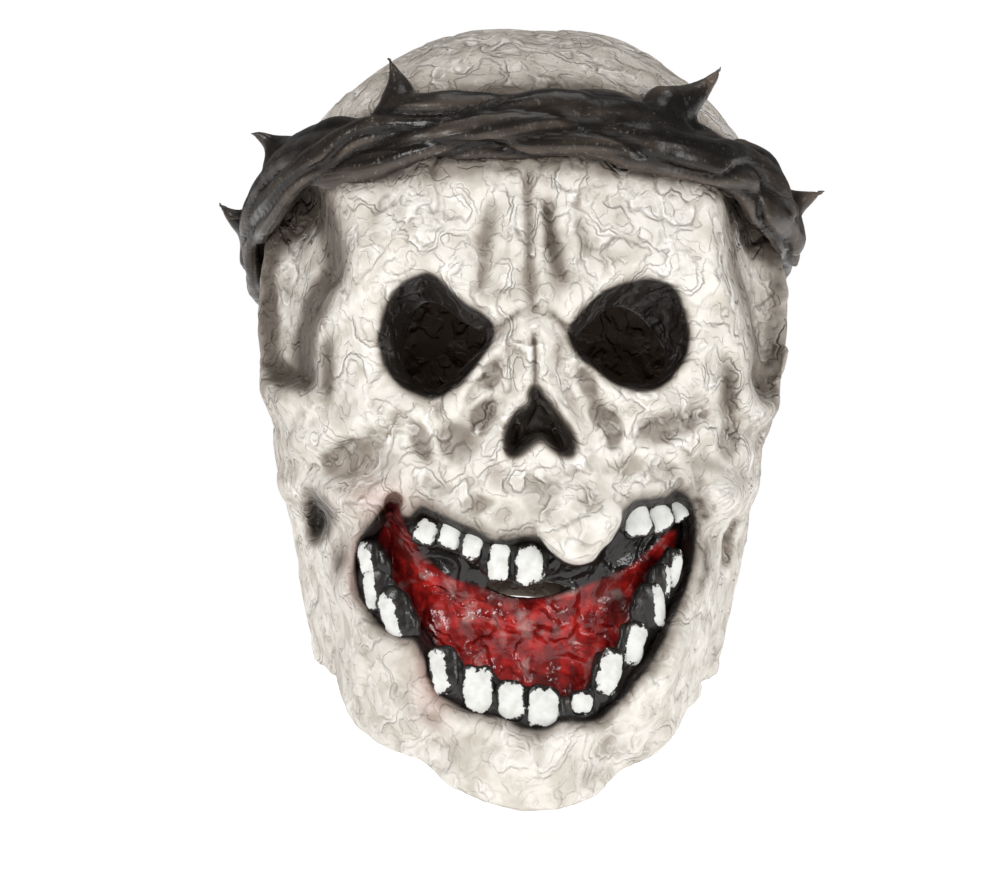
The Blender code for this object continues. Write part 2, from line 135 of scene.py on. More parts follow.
def within(outline_mm, x, z):
    """How far each point lies inside an outline given in millimetres; negative outside it."""
    path = smooth_loop(outline_mm) * MM
    enclosed = np.zeros(np.broadcast(x, z).shape, bool)
    for (ax, az), (bx, bz) in zip(path[:-1], path[1:]):
        if az != bz:
            enclosed ^= ((az > z) != (bz > z)) & (x < (bx - ax) * (z - az) / (bz - az) + ax)
    return np.where(enclosed, 1, -1) * distance_to(path, x, z)


def eased(value, start, end):
    """0 before start, 1 after end, with a smooth change between."""
    t = np.clip((value - start) / (end - start), 0, 1)
    return t * t * (3 - 2 * t)


def stroke(points_mm, width_mm, x, z):
    """A soft line in the front view: 1 along it, fading over its width."""
    path = smooth_line(points_mm) * MM if len(points_mm) > 2 else np.array(points_mm) * MM
    return np.exp(-(distance_to(path, x, z) / (width_mm * MM)) ** 2)


def groove(points_mm, width_mm, x, z):
    """A soft line that tapers away at both of its ends."""
    ends = [np.hypot(x / MM - points_mm[k][0], z / MM - points_mm[k][1]) for k in (0, -1)]
    return stroke(points_mm, width_mm, x, z) * eased(np.minimum(*ends), 0, 3.5 * width_mm)


def dab(across, up, wide, tall, x, z, turn=0):
    """A soft oval in the front view: 1 at its middle; sizes in millimetres, its turn in degrees."""
    c, s = math.cos(math.radians(turn)), math.sin(math.radians(turn))
    dx, dz = x / MM - across, z / MM - up
    return np.exp(-((dx * c + dz * s) / wide) ** 2 - ((dz * c - dx * s) / tall) ** 2)


def scoop(across, up, wide, tall, x, z, turn=0):
    """Like a dab, but flat in its middle and steep at its rim."""
    return np.exp(-np.abs(np.log(np.maximum(dab(across, up, wide, tall, x, z, turn), 1e-9))) ** 2.8)


def melt(a, b, soft):
    """Union of two forms with a rounded join; the forms are negative inside."""
    h = np.clip(0.5 + 0.5 * (b - a) / soft, 0, 1)
    return b * (1 - h) + a * h - soft * h * (1 - h)


def carve(a, b, soft):
    """Form a with form b taken out of it, the edge rounded."""
    return -melt(-a, b, soft)


class Clay:
    """A block of clay on a grid: values are negative inside the form, its distance away in metres."""

    def __init__(self, low, high, step):
        self.low, self.step = np.array(low, float), step
        axes = [np.arange(a, b + step, step, dtype=np.float32) for a, b in zip(low, high)]
        self.x, self.y, self.z = np.ix_(*axes)
        self.counts = tuple(len(axis) for axis in axes)
        self.form = np.zeros(self.counts, np.float32)

    def lumps(self, size, seed, stretch=(1, 1, 1)):
        """Soft random lumps of about a size, between -1 and 1, anywhere in the block."""
        rng = np.random.default_rng(seed)
        weights = []
        for count, pull in zip(self.counts, stretch):
            place = np.arange(count) * self.step / (size * pull)
            cells = int(place[-1]) + 2
            share = place - np.floor(place)
            share = share * share * (3 - 2 * share)
            row = np.zeros((count, cells), np.float32)
            row[np.arange(count), place.astype(int)] = 1 - share
            row[np.arange(count), place.astype(int) + 1] = share
            weights.append(row)
        field = rng.uniform(-1, 1, [w.shape[1] for w in weights]).astype(np.float32)
        for axis, w in enumerate(weights):
            field = np.moveaxis(np.tensordot(w, field, axes=(1, axis)), 0, axis)
        return field

    def blurred(self, form, reach):
        """The form averaged over a box of so many steps each way, twice."""
        for _ in range(2):
            for axis in range(3):
                width = [(0, 0)] * 3
                width[axis] = (reach + 1, reach)
                total = np.cumsum(np.pad(form, width, mode="edge"), axis=axis, dtype=np.float64)
                ahead = np.take(total, range(2 * reach + 1, total.shape[axis]), axis)
                behind = np.take(total, range(0, total.shape[axis] - 2 * reach - 1), axis)
                form = ((ahead - behind) / (2 * reach + 1)).astype(np.float32)
        return form

    def read(self, form, points):
        """A form's values at points of the block."""
        place = (points - self.low) / self.step
        base = np.clip(np.floor(place).astype(int), 0, np.array(self.counts) - 2)
        share = np.clip(place - base, 0, 1)
        value = np.zeros(len(points))
        for corner in np.ndindex(2, 2, 2):
            weight = np.prod(np.where(corner, share, 1 - share), axis=1)
            value += weight * form[tuple((base + corner).T)]
        return value

    def cast(self, name, form=None):
        """The clay's surface as a new mesh object."""
        grid = openvdb.FloatGrid(10.0)
        grid.copyFromArray(np.ascontiguousarray(self.form if form is None else form))
        points, _, quads = grid.convertToPolygons(isovalue=0.0, adaptivity=0.0)
        data = bpy.data.meshes.new(name)
        data.from_pydata(points * self.step + self.low, [], quads[:, ::-1].tolist())
        obj = bpy.data.objects.new(name, data)
        bpy.context.scene.collection.objects.link(obj)
        data.shade_smooth()
        return obj


def corners(obj):
    """All the vertices of a mesh object, as an array."""
    flat = np.empty(len(obj.data.vertices) * 3, np.float32)
    obj.data.vertices.foreach_get("co", flat)
    return flat.reshape(-1, 3)


def mark(obj, name, values):
    """Stores a number, or three, on each vertex, for the materials to read."""
    kind = "FLOAT_VECTOR" if np.ndim(values) == 2 else "FLOAT"
    made = obj.data.attributes.new(name, kind, "POINT")
    made.data.foreach_set("vector" if np.ndim(values) == 2 else "value",
                          np.ascontiguousarray(values, np.float32).ravel())


# Outlines in the front view, in millimetres across and up
SOCKET_RIGHT = ((-37, 21), (-30, 16.5), (-22, 10.5), (-14, 5), (-12, 0.5), (-15.5, -6.5),
                (-22, -15), (-31, -23.5), (-40.5, -22), (-49, -15.5), (-52.5, -6), (-52, 3),
                (-49, 11), (-44, 17.5))
SOCKET_LEFT = ((13.5, 1.5), (17, 7.5), (23, 13.5), (30, 18.5), (41, 21.5), (50, 19), (55, 12),
               (57, 3.5), (56, -6), (49, -15.5), (39, -19), (28.5, -14.5), (17.5, -6.5))
EYE_RIGHT = ((-34.5, 10.5), (-24, 5), (-15, -1.5), (-21.5, -9.5), (-28, -17), (-35, -22), (-41, -16),
             (-44.7, -9.5), (-42, 1), (-39.5, 8))
EYE_LEFT = ((16, -0.8), (24, 7), (32, 10.8), (41, 7), (47, 0), (49.5, -6), (47.5, -12), (39.5, -16),
            (29, -13.5), (22.5, -7))
NOSE = ((3, -17.5), (0.5, -21), (0.8, -24.5), (-4, -28), (-7, -33), (-8, -38), (-6.5, -42),
        (-3, -42.5), (1, -40), (4.5, -38), (8, -40), (12, -42.2), (16.5, -41), (17.5, -36),
        (13, -29.5), (7.8, -23.5))
NOSTRILS = (((9, -32), (11.2, -33.5), (13.6, -38.5), (12.4, -40), (10.2, -36)),
            ((-3.2, -31), (-1.8, -33), (-3.6, -38), (-5.2, -38), (-4.6, -34)))
MOUTH = ((-47, -60), (-44, -64), (-40, -65.5), (-36, -61), (-31, -62.5), (-26, -65), (-20, -67.5),
         (-14, -70), (-10, -72), (-5, -72), (0, -70), (4, -69.5), (9, -70.5),
         (15, -71.5), (21, -71), (26, -69), (30, -66.5), (33.5, -63.5), (36, -59),
         (39, -56.5), (45, -56), (50.5, -55), (54, -52), (58.5, -53), (61.5, -58), (62, -66),
         (61.5, -76), (60, -85), (57.5, -92), (54.5, -99), (51, -107), (46.5, -115), (41.5, -121),
         (36.5, -127), (31, -132), (25, -135), (17, -135.5), (11, -138.5), (4, -138.3), (-4, -135.5),
         (-12, -134), (-20, -132), (-27, -128), (-31.5, -121), (-33.5, -114), (-37, -109.5),
         (-43, -108.5), (-49, -104.5), (-53.5, -98), (-57.5, -91), (-59.5, -83), (-58.5, -75),
         (-54.5, -68.5), (-50, -63.5))
TEMPLE_RIGHT = ((-99, 48), (-86, 60), (-72, 52), (-66.5, 36), (-64.5, 20), (-70.5, 9), (-73.5, -4),
                (-74, -19), (-82, -22.5), (-92, -20), (-99, -6))
TEMPLE_LEFT = ((66, 62), (66.5, 45), (70, 26), (76, 12), (79, 0), (79.5, -13), (86, -20.5),
               (94, -15), (99, 8), (98, 40), (85, 62))
FLAP = ((5.5, -63), (9, -73), (14.5, -77.8), (20, -79.5), (25, -78.5), (28, -74.5), (32, -70.5),
        (34.5, -63), (28, -54), (12, -54))
# Pits: across, up, half width, half height, turn, depth, how dark they are washed, a wash that also
# paints shade in the pit
PITS = (
    (-12.5, -14, 4.2, 6.5, -25, 3.6, 0.75), (-19, -20, 2.6, 6.0, -28, 2.4, 0.6),
    (-15.5, -28.5, 4.8, 6.5, -30, 4.0, 0.8), (-24, -37.5, 7.0, 8.0, 30, 3.4, 0.75),
    (-36.5, -38, 3.8, 8.0, 25, 3.2, 0.75), (-30, -28.5, 2.4, 4.5, 20, 1.6, 0.4),
    (20.5, -16, 3.6, 6.5, 22, 3.4, 0.75), (24.5, -26, 3.6, 5.5, 15, 3.0, 0.7),
    (30, -31, 3.6, 7.5, 12, 3.0, 0.7), (50.5, -30, 13.5, 5.6, 18, 3.8, 0.7),
    (62, -23, 5.0, 5.0, 0, 2.0, 0.4), (73, -35, 5.0, 6.8, 0, 3.0, 0.65),
    (-61, -46, 11, 7.0, 20, 3.8, 0.65), (-44, -31, 5.0, 4.0, 0, 2.0, 0.45),
    (5, -55.5, 7.5, 7.5, 0, 1.6, 0.5), (-17, -60, 6.5, 3.4, 15, 2.0, 0.5),
    (-8, -63.5, 4.0, 4.0, 0, 1.6, 0.4), (38, -44, 5.0, 4.0, 0, 2.0, 0.4),
    (-30, -54, 8.0, 3.0, -20, 1.8, 0.35), (14, -46, 6.0, 4.0, 0, 1.4, 0.3),
    (48, -47, 7.0, 4.0, 20, 2.4, 0.4), (-10, -50, 5.0, 5.0, 0, 1.2, 0.3),
    (-46, -60, 3.4, 4.2, 0, 5.0, 1.4),
    (24, -57, 5, 3.4, 0, 1.3, 0.3), (-52, -38, 5, 4, 0, 1.8, 0.4),
)
CHEEK_HOLE = ((-77, -58), (-70, -61), (-66.5, -66), (-69, -73), (-73, -76.5), (-76.5, -70))
# Furrows, cut and then darkened: path, width and depth of the cut, width and strength of the paint,
# which is painted shade in the cut as well as wash.
# The cuts of the frown and the temples fade out at both ends, and the deep ones stay open there.
FADING_FURROWS = (
    (((-14, 52), (-16.5, 34), (-17.8, 18), (-14, 6)), 2.6, 2.6, 3.4, 0.6),
    (((-2.8, 64), (-1.6, 40), (-0.5, 22), (0.6, 2)), 2.0, 3.0, 2.4, 0.65),
    (((3, 54), (6.0, 36), (10.0, 24), (13, 13)), 3.0, 3.8, 3.2, 0.9),
    (((14, 54), (16.5, 38), (21, 22)), 2.2, 1.6, 3.0, 0.5),
    (((-69.5, 6), (-71, -12), (-70, -32)), 3.0, 4.2, 4.0, 0.85),
    (((71, 0), (73, -16), (72.5, -34)), 3.0, 3.6, 4.0, 0.85),
)
DEEP_FURROWS = (
    (((62.5, -50), (62, -56), (64.5, -61)), 2.4, 5.0, 2.6, 1.5),
    (((79, -64), (78, -70), (77, -77)), 2.6, 6.0, 3.0, 1.5),
    (((-37, -122), (-30, -136), (-22, -150)), 5, 3.0, 4.5, 0.55),
    (((39, -130), (32, -142), (26, -154)), 5, 3.0, 4.5, 0.55),
)
# Dark strokes outside the furrow tables: path, width, strength. Along the crack, folds and sides of
# the nose and down the jaw under the cheekbones they are painted shade; on the jaw and chin they are
# streaks of wash.
STREAKS_AND_PAINTED_SHADE = (
    (((1.0, 3), (2.2, -10), (3.6, -20)), 1.3, 0.95),
    (((-1, 10), (-7, 5), (-15, -3)), 1.5, 0.8),
    (((3, 10), (9, 6), (16, 0)), 1.5, 0.8),
    (((-7, 3), (-7.5, -6), (-6, -15)), 1.8, 0.6),
    (((10, 2), (10.5, -8), (11, -16)), 1.8, 0.6),
    (((-50, -110), (-46, -116), (-40, -126)), 4.0, 0.6),
    (((-22, -134), (-20, -141), (-22, -148)), 3.0, 0.55),
    (((-8, -138), (-6, -144), (-7, -152)), 2.6, 0.5),
    (((17, -138), (19, -144), (18, -152)), 3.0, 0.55),
    (((42, -124), (46, -132), (42, -140)), 3.6, 0.55),
    (((54, -110), (58, -118), (54, -126)), 3.6, 0.5),
    (((-66, -66), (-64, -80), (-66, -98)), 5.0, 0.85),
    (((66, -60), (66, -80), (63, -98)), 4.0, 0.7),
)


def face_relief(x, z):
    """How far the plain face is pushed in, in metres, at points of the front view."""
    sunk = np.zeros(np.broadcast(x, z).shape)
    for socket in (SOCKET_RIGHT, SOCKET_LEFT):
        inside = within(socket, x, z) / MM
        sunk += 16 * eased(inside, -2.5, 13) - 2.2 * np.exp(-((inside + 4.5) / 4.5) ** 2)
    inside = within(NOSE, x, z) / MM
    sunk += 13 * eased(inside, -1.2, 5.5) - 1.2 * np.exp(-((inside + 2.5) / 2.2) ** 2)
    inside = within(MOUTH, x, z) / MM
    flap = eased(within(FLAP, x, z) / MM, -1.4, 1.2)
    sunk += 13 * eased(inside, -2.0, 8) * (1 - flap) - 1.2 * np.exp(-((inside + 4.5) / 3.5) ** 2)
    sunk -= 1.5 * flap
    # the jaw stands back under the cheekbones
    sunk += 4.5 * eased(-z, 0.062, 0.072) * eased(np.abs(x), 0.056, 0.066)
    for temple in (TEMPLE_RIGHT, TEMPLE_LEFT):
        inside = within(temple, x, z) / MM
        sunk += 13 * eased(inside, -1.5, 9) - 2.5 * np.exp(-((inside + 4) / 4) ** 2)
    sunk += 8 * eased(within(CHEEK_HOLE, x, z) / MM, -1.5, 5)

    # brows and the outer edges of the sockets
    sunk -= 4.0 * stroke(((-58, 24), (-45, 31), (-30, 25), (-15, 13)), 9, x, z)
    sunk -= 4.0 * stroke(((62, 22), (52, 32), (36, 30), (16, 15)), 9, x, z)
    sunk -= 2.5 * stroke(((-62, 45), (-60, 22), (-60, 0), (-57, -22)), 6, x, z)
    sunk -= 2.5 * stroke(((62, 45), (65, 20), (67, 0), (64, -22)), 6, x, z)
    for path, width, deep, *_ in FADING_FURROWS:
        sunk += deep * groove(path, width, x, z)
    for path, width, deep, *_ in DEEP_FURROWS:
        sunk += deep * stroke(path, width, x, z)
    # ridges of the frown and the folds at the root of the nose
    sunk -= 2.2 * stroke(((-9, 48), (-8.5, 30), (-6.5, 12)), 3.2, x, z)
    sunk -= 1.8 * stroke(((1.8, 48), (4, 30), (5.5, 14)), 2.0, x, z)
    sunk -= 2.8 * stroke(((1, 4.5), (-4.5, -0.5), (-12, -6)), 1.8, x, z)
    sunk -= 2.8 * stroke(((1, 4.5), (6.5, 0), (13.5, -4)), 1.8, x, z)
    sunk += 1.8 * stroke(((0, 9), (-7, 5), (-14, -2)), 1.6, x, z)
    sunk += 1.8 * stroke(((3, 9), (9, 6), (15, 1)), 1.6, x, z)
    sunk -= 2.2 * stroke(((-11, 20), (-9, 10), (-4, 3)), 2.0, x, z)
    # bridge of the nose, with its crack and the loose ends of the nose bones
    sunk -= 8.5 * stroke(((0.5, 10), (1.2, -3), (1.5, -13)), 6.5, x, z)
    sunk += 3.2 * stroke(((1.0, 1), (2.2, -10), (3.6, -19)), 1.4, x, z)
    sunk -= 3.2 * dab(-1.6, -16.2, 3.6, 4.4, x, z, 20)
    sunk -= 4.2 * dab(-2.6, -22.2, 3.2, 1.9, x, z)
    sunk -= 5.0 * stroke(((6.2, -13), (9.5, -21), (14.5, -29.5), (17.5, -35)), 2.8, x, z)
    sunk -= 2.2 * stroke(((-4, -25), (-8.5, -33), (-10.5, -41)), 3.0, x, z)
    for across, up, wide, tall, turn, deep, _ in PITS:
        sunk += deep * scoop(across, up, wide, tall, x, z, turn)
    # cheekbones, their lumps, the muzzle over the teeth and the loose flap of bone
    sunk -= 4.0 * stroke(((-44, -27), (-62, -32), (-80, -42)), 6, x, z)
    sunk -= 4.0 * stroke(((42, -22), (62, -32), (80, -40)), 6, x, z)
    sunk -= 3.5 * stroke(((-44, -52), (-62, -58), (-84, -56)), 5, x, z)
    sunk -= 3.5 * stroke(((46, -48), (64, -52), (86, -50)), 5, x, z)
    sunk -= 8.5 * dab(-62, -61, 9, 7, x, z, -20)
    sunk -= 6.0 * dab(-52, -69, 6.5, 4.5, x, z, -35)
    sunk -= 10.5 * dab(72, -54.5, 9.5, 7.5, x, z, 5)
    sunk -= 4.5 * dab(0, -58, 34, 13, x, z)
    sunk -= 5.5 * dab(20, -70, 12, 8.5, x, z, -8)
    sunk -= 2.2 * dab(30, -62, 6, 5, x, z)
    # jaw: the edge of its branch, and the chin's boss between its two furrows
    sunk -= 3.5 * stroke(((-60, -74), (-62.5, -90), (-57, -106), (-46, -117), (-36, -124)), 3.6,
                         x, z)
    sunk += 1.0 * stroke(((-66, -80), (-68, -96), (-64, -112)), 3.6, x, z)
    sunk -= 3.0 * stroke(((64, -70), (65, -90), (60, -106), (50, -122)), 4.5, x, z)
    sunk -= 6.5 * dab(0, -152, 20, 11, x, z)
    sunk -= 2.5 * dab(-34, -133, 6, 8, x, z, 25)
    sunk -= 2.0 * dab(47, -131, 7, 6, x, z)
    return sunk * MM


def circlet_height(theta):
    """The level at which the circlet runs round the head; the face is at 0, and +X at pi / 2."""
    return (41.5 + 31.5 * np.cos(theta) + 1.5 * np.sin(3 * theta)
            + 12 * eased(theta, 1.2, 1.7) * eased(-theta, -2.9, -2.2)) * MM


def plain_head(block):
    """The head before the face is worked in: its form, how far its skin faces up (0 to 1), and the
    way round it in degrees from the face towards +X."""
    below = np.clip(-block.z / CHIN, 0, 1)
    width, fore, aft = (np.interp(below, *smooth_line([(row[0], row[k]) for row in LOWER_SKULL]).T)
                        for k in (1, 2, 3))
    x = block.x - SKULL_ASIDE - (JAW_ASIDE - SKULL_ASIDE) * eased(-block.z, 0.045, 0.105)
    aside = (np.abs(x) / (TEMPLE * width)) ** SKIN_SECTION
    ahead = (np.abs(block.y) / np.where(block.y < 0, BROW * fore, BACK * aft)) ** SKIN_SECTION
    way_round = np.degrees(np.arctan2(np.sign(x) * np.sqrt(aside),
                                      -np.sign(block.y) * np.sqrt(ahead)))
    level = (aside + ahead).astype(np.float32) ** (DOME_SECTION / SKIN_SECTION)
    level = (level + (np.clip(block.z, 0, None) / CROWN) ** DOME_SECTION) ** (1 / DOME_SECTION)
    slopes = np.gradient(level, block.step)
    steepness = np.maximum(np.sqrt(sum(g * g for g in slopes)), 3)
    return ((level - 1) / steepness).astype(np.float32), (slopes[2] / steepness), way_round


skin = Clay((-0.113, -0.134, CHIN * -1.03), (0.113, BACK + 0.012, CROWN + 0.006), SKIN_STEP)
x_map, z_map = skin.x[:, :, 0], skin.z[:, 0, :]
facing = eased(-skin.y, 0.006, 0.034)
# nothing on the face is ruled: every line and outline wanders a little
drift = []
for seed in (51, 53):
    wander = 0.8 * skin.lumps(0.013, seed) + 0.45 * skin.lumps(0.006, seed + 1)
    drift.append(np.broadcast_to(wander[:, :1] * MM, skin.counts))
x_drawn, z_drawn = x_map + drift[0][:, 0], z_map + drift[1][:, 0]
plain, _, way_round = plain_head(skin)
worked = plain + face_relief(x_drawn, z_drawn)[:, None, :] * facing
rough = skin.lumps(0.024, 1), skin.lumps(0.009, 2), skin.lumps(0.013, 3), skin.lumps(0.034, 4)
worked += (1.2 * rough[0] + 0.6 * rough[1]) * MM
cheeks = eased(-skin.z, 0.018, 0.030) * eased(-skin.z, 0.078, 0.066) * facing
worked += 1.2 * MM * eased(skin.lumps(0.0085, 5), 0.22, 0.40) * cheeks
jaw_front = eased(-skin.z, 0.082, 0.096) * facing
worked -= 1.6 * MM * eased(skin.lumps(0.011, 9), 0.22, 0.55) * jaw_front
# scabs: plates of clay laid over each other, each with a steep edge
worked -= 0.75 * MM * eased(rough[2], -0.02, 0.08) * eased(rough[3], -0.5, 0.1)
worked -= 0.65 * MM * eased(rough[2] + 0.35 * rough[1], 0.34, 0.42)
steepness = np.sqrt(sum(g * g for g in np.gradient(worked, SKIN_STEP)))
worked = (worked / np.clip(steepness, 1, 4)).astype(np.float32)
# How far each point lies below the clay around it, near and far; the paint darkens these hollows as
# painted shade
spread = skin.blurred(worked, 2)
hollow_small = -spread
hollow_large = -skin.blurred(spread, 4)
inner = np.maximum(worked, spread) + SKIN_WALL
shell = np.maximum(worked, -inner)

holes = np.maximum.reduce([within(EYE_RIGHT, x_drawn, z_drawn), within(EYE_LEFT, x_drawn, z_drawn),
                           np.minimum(within(MOUTH, x_drawn, z_drawn) - 4.5 * MM,
                                      -within(FLAP, x_drawn, z_drawn) - 1.5 * MM)]
                          + [within(slit, x_drawn, z_drawn) for slit in NOSTRILS])
through = np.maximum(-holes[:, None, :], skin.y + HOLES_REACH)
shell = carve(shell, through.astype(np.float32), 1.2 * MM)
rim = np.array(NECK_RIM)
rim_height = CHIN * (np.interp(way_round, rim[:, 0], rim[:, 1]) * (1 - NAPE_SHARE) - 1)
shell = carve(shell, skin.z - rim_height.astype(np.float32), 1.5 * MM)


def cast_skin(name, behind, nodes):
    """One of the two mould halves, cut from the shell at the side seam, its paint and painted shade
    marked on it.
    """
    side = SEAM - skin.y if behind else skin.y - SEAM
    skull = skin.cast(name, np.maximum(shell, side).astype(np.float32))
    points = corners(skull)
    x, y, z = points.T
    inside = eased(skin.read(worked, points), -0.4 * SKIN_WALL, -0.7 * SKIN_WALL)
    front = eased(-y, 0.002, 0.02) * (1 - inside)
    # Painted shade on the bone just above and below the circlet
    off_circlet = np.abs(z - circlet_height(np.arctan2(x, -y))) / MM
    shade = np.exp(-(np.clip(off_circlet - 12, 0, None) / 6) ** 2)
    x, z = x + skin.read(drift[0], points), z + skin.read(drift[1], points)
    black = np.zeros(len(x))
    # The brown wash is partly painted shade: darker at the sides, on the dome, towards the back and
    # next to the circlet, and low on the jaw, more so towards -X
    plain_wash_and_shade = 0.65 * eased(np.abs(x), 0.068, 0.098) + 0.55 * eased(z, 0.07, 0.09) + 0.85 * shade
    plain_wash_and_shade += 0.35 * eased(y, 0.02, 0.09)
    wash_and_shade = (0.5 * plain_wash_and_shade + 0.20 * eased(-z, 0.072, 0.095)
            + 0.14 * eased(-z, 0.06, 0.08) * eased(-x, 0, 0.05))
    for socket in (SOCKET_RIGHT, SOCKET_LEFT):
        reach = within(socket, x, z) / MM
        black = np.maximum(black, eased(reach, -1.6, 1.4))
        wash_and_shade = np.maximum(wash_and_shade, 0.8 * eased(reach, -3.4, 0.5))
    flap = eased(within(FLAP, x, z) / MM, -1.2, 0.2)
    for outline, edge, haze, strength in ((NOSE, 1.1, 2.2, 0.66), (MOUTH, 1.8, 8, 1.0),
                                          (CHEEK_HOLE, 3.5, 5, 0.6)):
        reach = within(outline, x, z) / MM
        bare = flap if outline is MOUTH else 0
        black = np.maximum(black, strength * eased(reach, -edge, edge) * (1 - bare))
        wash_and_shade = np.maximum(wash_and_shade, 0.8 * eased(reach, -haze, 0) * (1 - bare))
    # The temples are washed dark just inside their rims and less in the middle: painted shade of the
    # hollows, stronger at -X
    for outline, strength in ((TEMPLE_RIGHT, 1.2), (TEMPLE_LEFT, 0.8)):
        reach = within(outline, x, z) / MM
        wash_and_shade = np.maximum(wash_and_shade, strength * np.exp(-((reach - 5.5) / 6.5) ** 2))
        wash_and_shade = np.maximum(wash_and_shade, 0.45 * eased(reach, 0, 6))
    # The pits are washed dark: a brown wash that is also painted shade in their hollows
    for across, up, wide, tall, turn, _, dark in PITS:
        pit = scoop(across, up, wide * 1.05, tall * 1.05, x, z, turn)
        wash_and_shade = np.maximum(wash_and_shade, 1.05 * dark * pit)
    # The furrows and strokes are washed dark along their lines: painted shade in the cuts and folds,
    # and streaks of wash on the jaw
    furrows = [(path, *painted) for path, _, _, *painted in FADING_FURROWS + DEEP_FURROWS]
    for path, width, strength in (*furrows, *STREAKS_AND_PAINTED_SHADE):
        core = groove(path, width, x, z)
        wash_and_shade = np.maximum(wash_and_shade, strength * (0.6 * core ** 2 + 0.55 * core ** 0.35 * (core > 0.004)))
    mark(skull, "rest", points)
    mark(skull, "black", black * front)
    wash_and_shade = plain_wash_and_shade + (np.maximum(wash_and_shade, plain_wash_and_shade) - plain_wash_and_shade) * front
    mark(skull, "wash_and_shade", wash_and_shade * (1 - inside))
    mark(skull, "inside", inside)
    mark(skull, "hollow", skin.read(hollow_small, points) / MM)
    mark(skull, "basin", skin.read(hollow_large, points) / MM)
    raw = stroke(((-46, -63), (-44.5, -69), (-42, -77), (-40, -84)), 3.6, x, z)
    mark(skull, "raw", raw * front)
    pink = dab(-52, -58, 12, 7, x, z) + dab(-57, -84, 5, 12, x, z) + dab(-31, -125, 6, 14, x, z, 15)
    mark(skull, "flush", np.clip(pink, 0, 1) * front)
    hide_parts(*nodes)
    return skull


class Wire:
    """A shader node's output that takes ordinary arithmetic."""

    def __init__(self, tree, socket=None):
        self.tree, self.socket = tree, socket

    def node(self, kind, settings=None, sockets=None, out=0):
        """Adds a node: its settings first, then the values or links of its sockets."""
        made = self.tree.nodes.new(kind)
        for key, value in (settings or {}).items():
            setattr(made, key, value)
        for key, value in (sockets or {}).items():
            if isinstance(value, Wire):
                self.tree.links.new(value.socket, made.inputs[key])
            else:
                made.inputs[key].default_value = value
        return Wire(self.tree, made.outputs[out])

    def maths(self, operation, *values):
        return self.node("ShaderNodeMath", {"operation": operation}, dict(enumerate(values)))

    def __add__(self, other):
        return self.maths("ADD", self, other)

    def __sub__(self, other):
        return self.maths("SUBTRACT", self, other)

    def __rsub__(self, other):
        return self.maths("SUBTRACT", other, self)

    def __mul__(self, other):
        return self.maths("MULTIPLY", self, other)

    __radd__, __rmul__ = __add__, __mul__


def marked(wire, name, out=2):
    """A value that the sculpting left on the mesh; out 1 gives all three numbers."""
    return wire.node("ShaderNodeAttribute", {"attribute_name": name}, None, out)


def noise(place, scale, detail=2.0, out=0, roughness=0.5):
    return place.node("ShaderNodeTexNoise", None, {"Vector": place, "Scale": scale, "Detail": detail,
                                                   "Roughness": roughness}, out)


def ramp(value, start, end):
    """0 before start, 1 after end, with a smooth change between."""
    return value.node("ShaderNodeMapRange", {"interpolation_type": "SMOOTHSTEP"},
                      {"Value": value, "From Min": start, "From Max": end})


def paint(share, under, over):
    """A colour laid over another where the share is 1."""
    under, over = (c if isinstance(c, Wire) else (*c, 1) for c in (under, over))
    return share.node("ShaderNodeMix", {"data_type": "RGBA"}, {0: share, 6: under, 7: over}, out=2)


def bent(place, amount, scale):
    """A place shifted by smooth noise, so that patterns lose their straight lines."""
    shift = place.node("ShaderNodeVectorMath", {"operation": "SUBTRACT"},
                       {0: noise(place, scale, 2, out=1), 1: (0.5, 0.5, 0.5)})
    return place.node("ShaderNodeVectorMath", {"operation": "MULTIPLY_ADD"},
                      {0: shift, 1: (amount, amount, amount), 2: place})


def raised(height, distance):
    return height.node("ShaderNodeBump", None, {"Height": height, "Distance": distance})


def finish(name, wires, plain):
    """A new material from a function that gives the wires of its surface."""
    made = bpy.data.materials.new(name)
    made.use_nodes = True
    shader = made.node_tree.nodes["Principled BSDF"]
    for key, value in plain.items():
        shader.inputs[key].default_value = value
    for key, value in wires(Wire(made.node_tree)).items():
        made.node_tree.links.new(value.socket, shader.inputs[key])
    return made


BONE_WHITE = (0.75, 0.715, 0.655)
BONE_CREAM = (0.58, 0.54, 0.475)
BONE_GREY = (0.30, 0.255, 0.21)
WASH_AND_SHADE_BROWN = (0.075, 0.057, 0.043)
PAINT_BLACK = (0.014, 0.0105, 0.0085)
RAW_LATEX = (0.10, 0.075, 0.055)


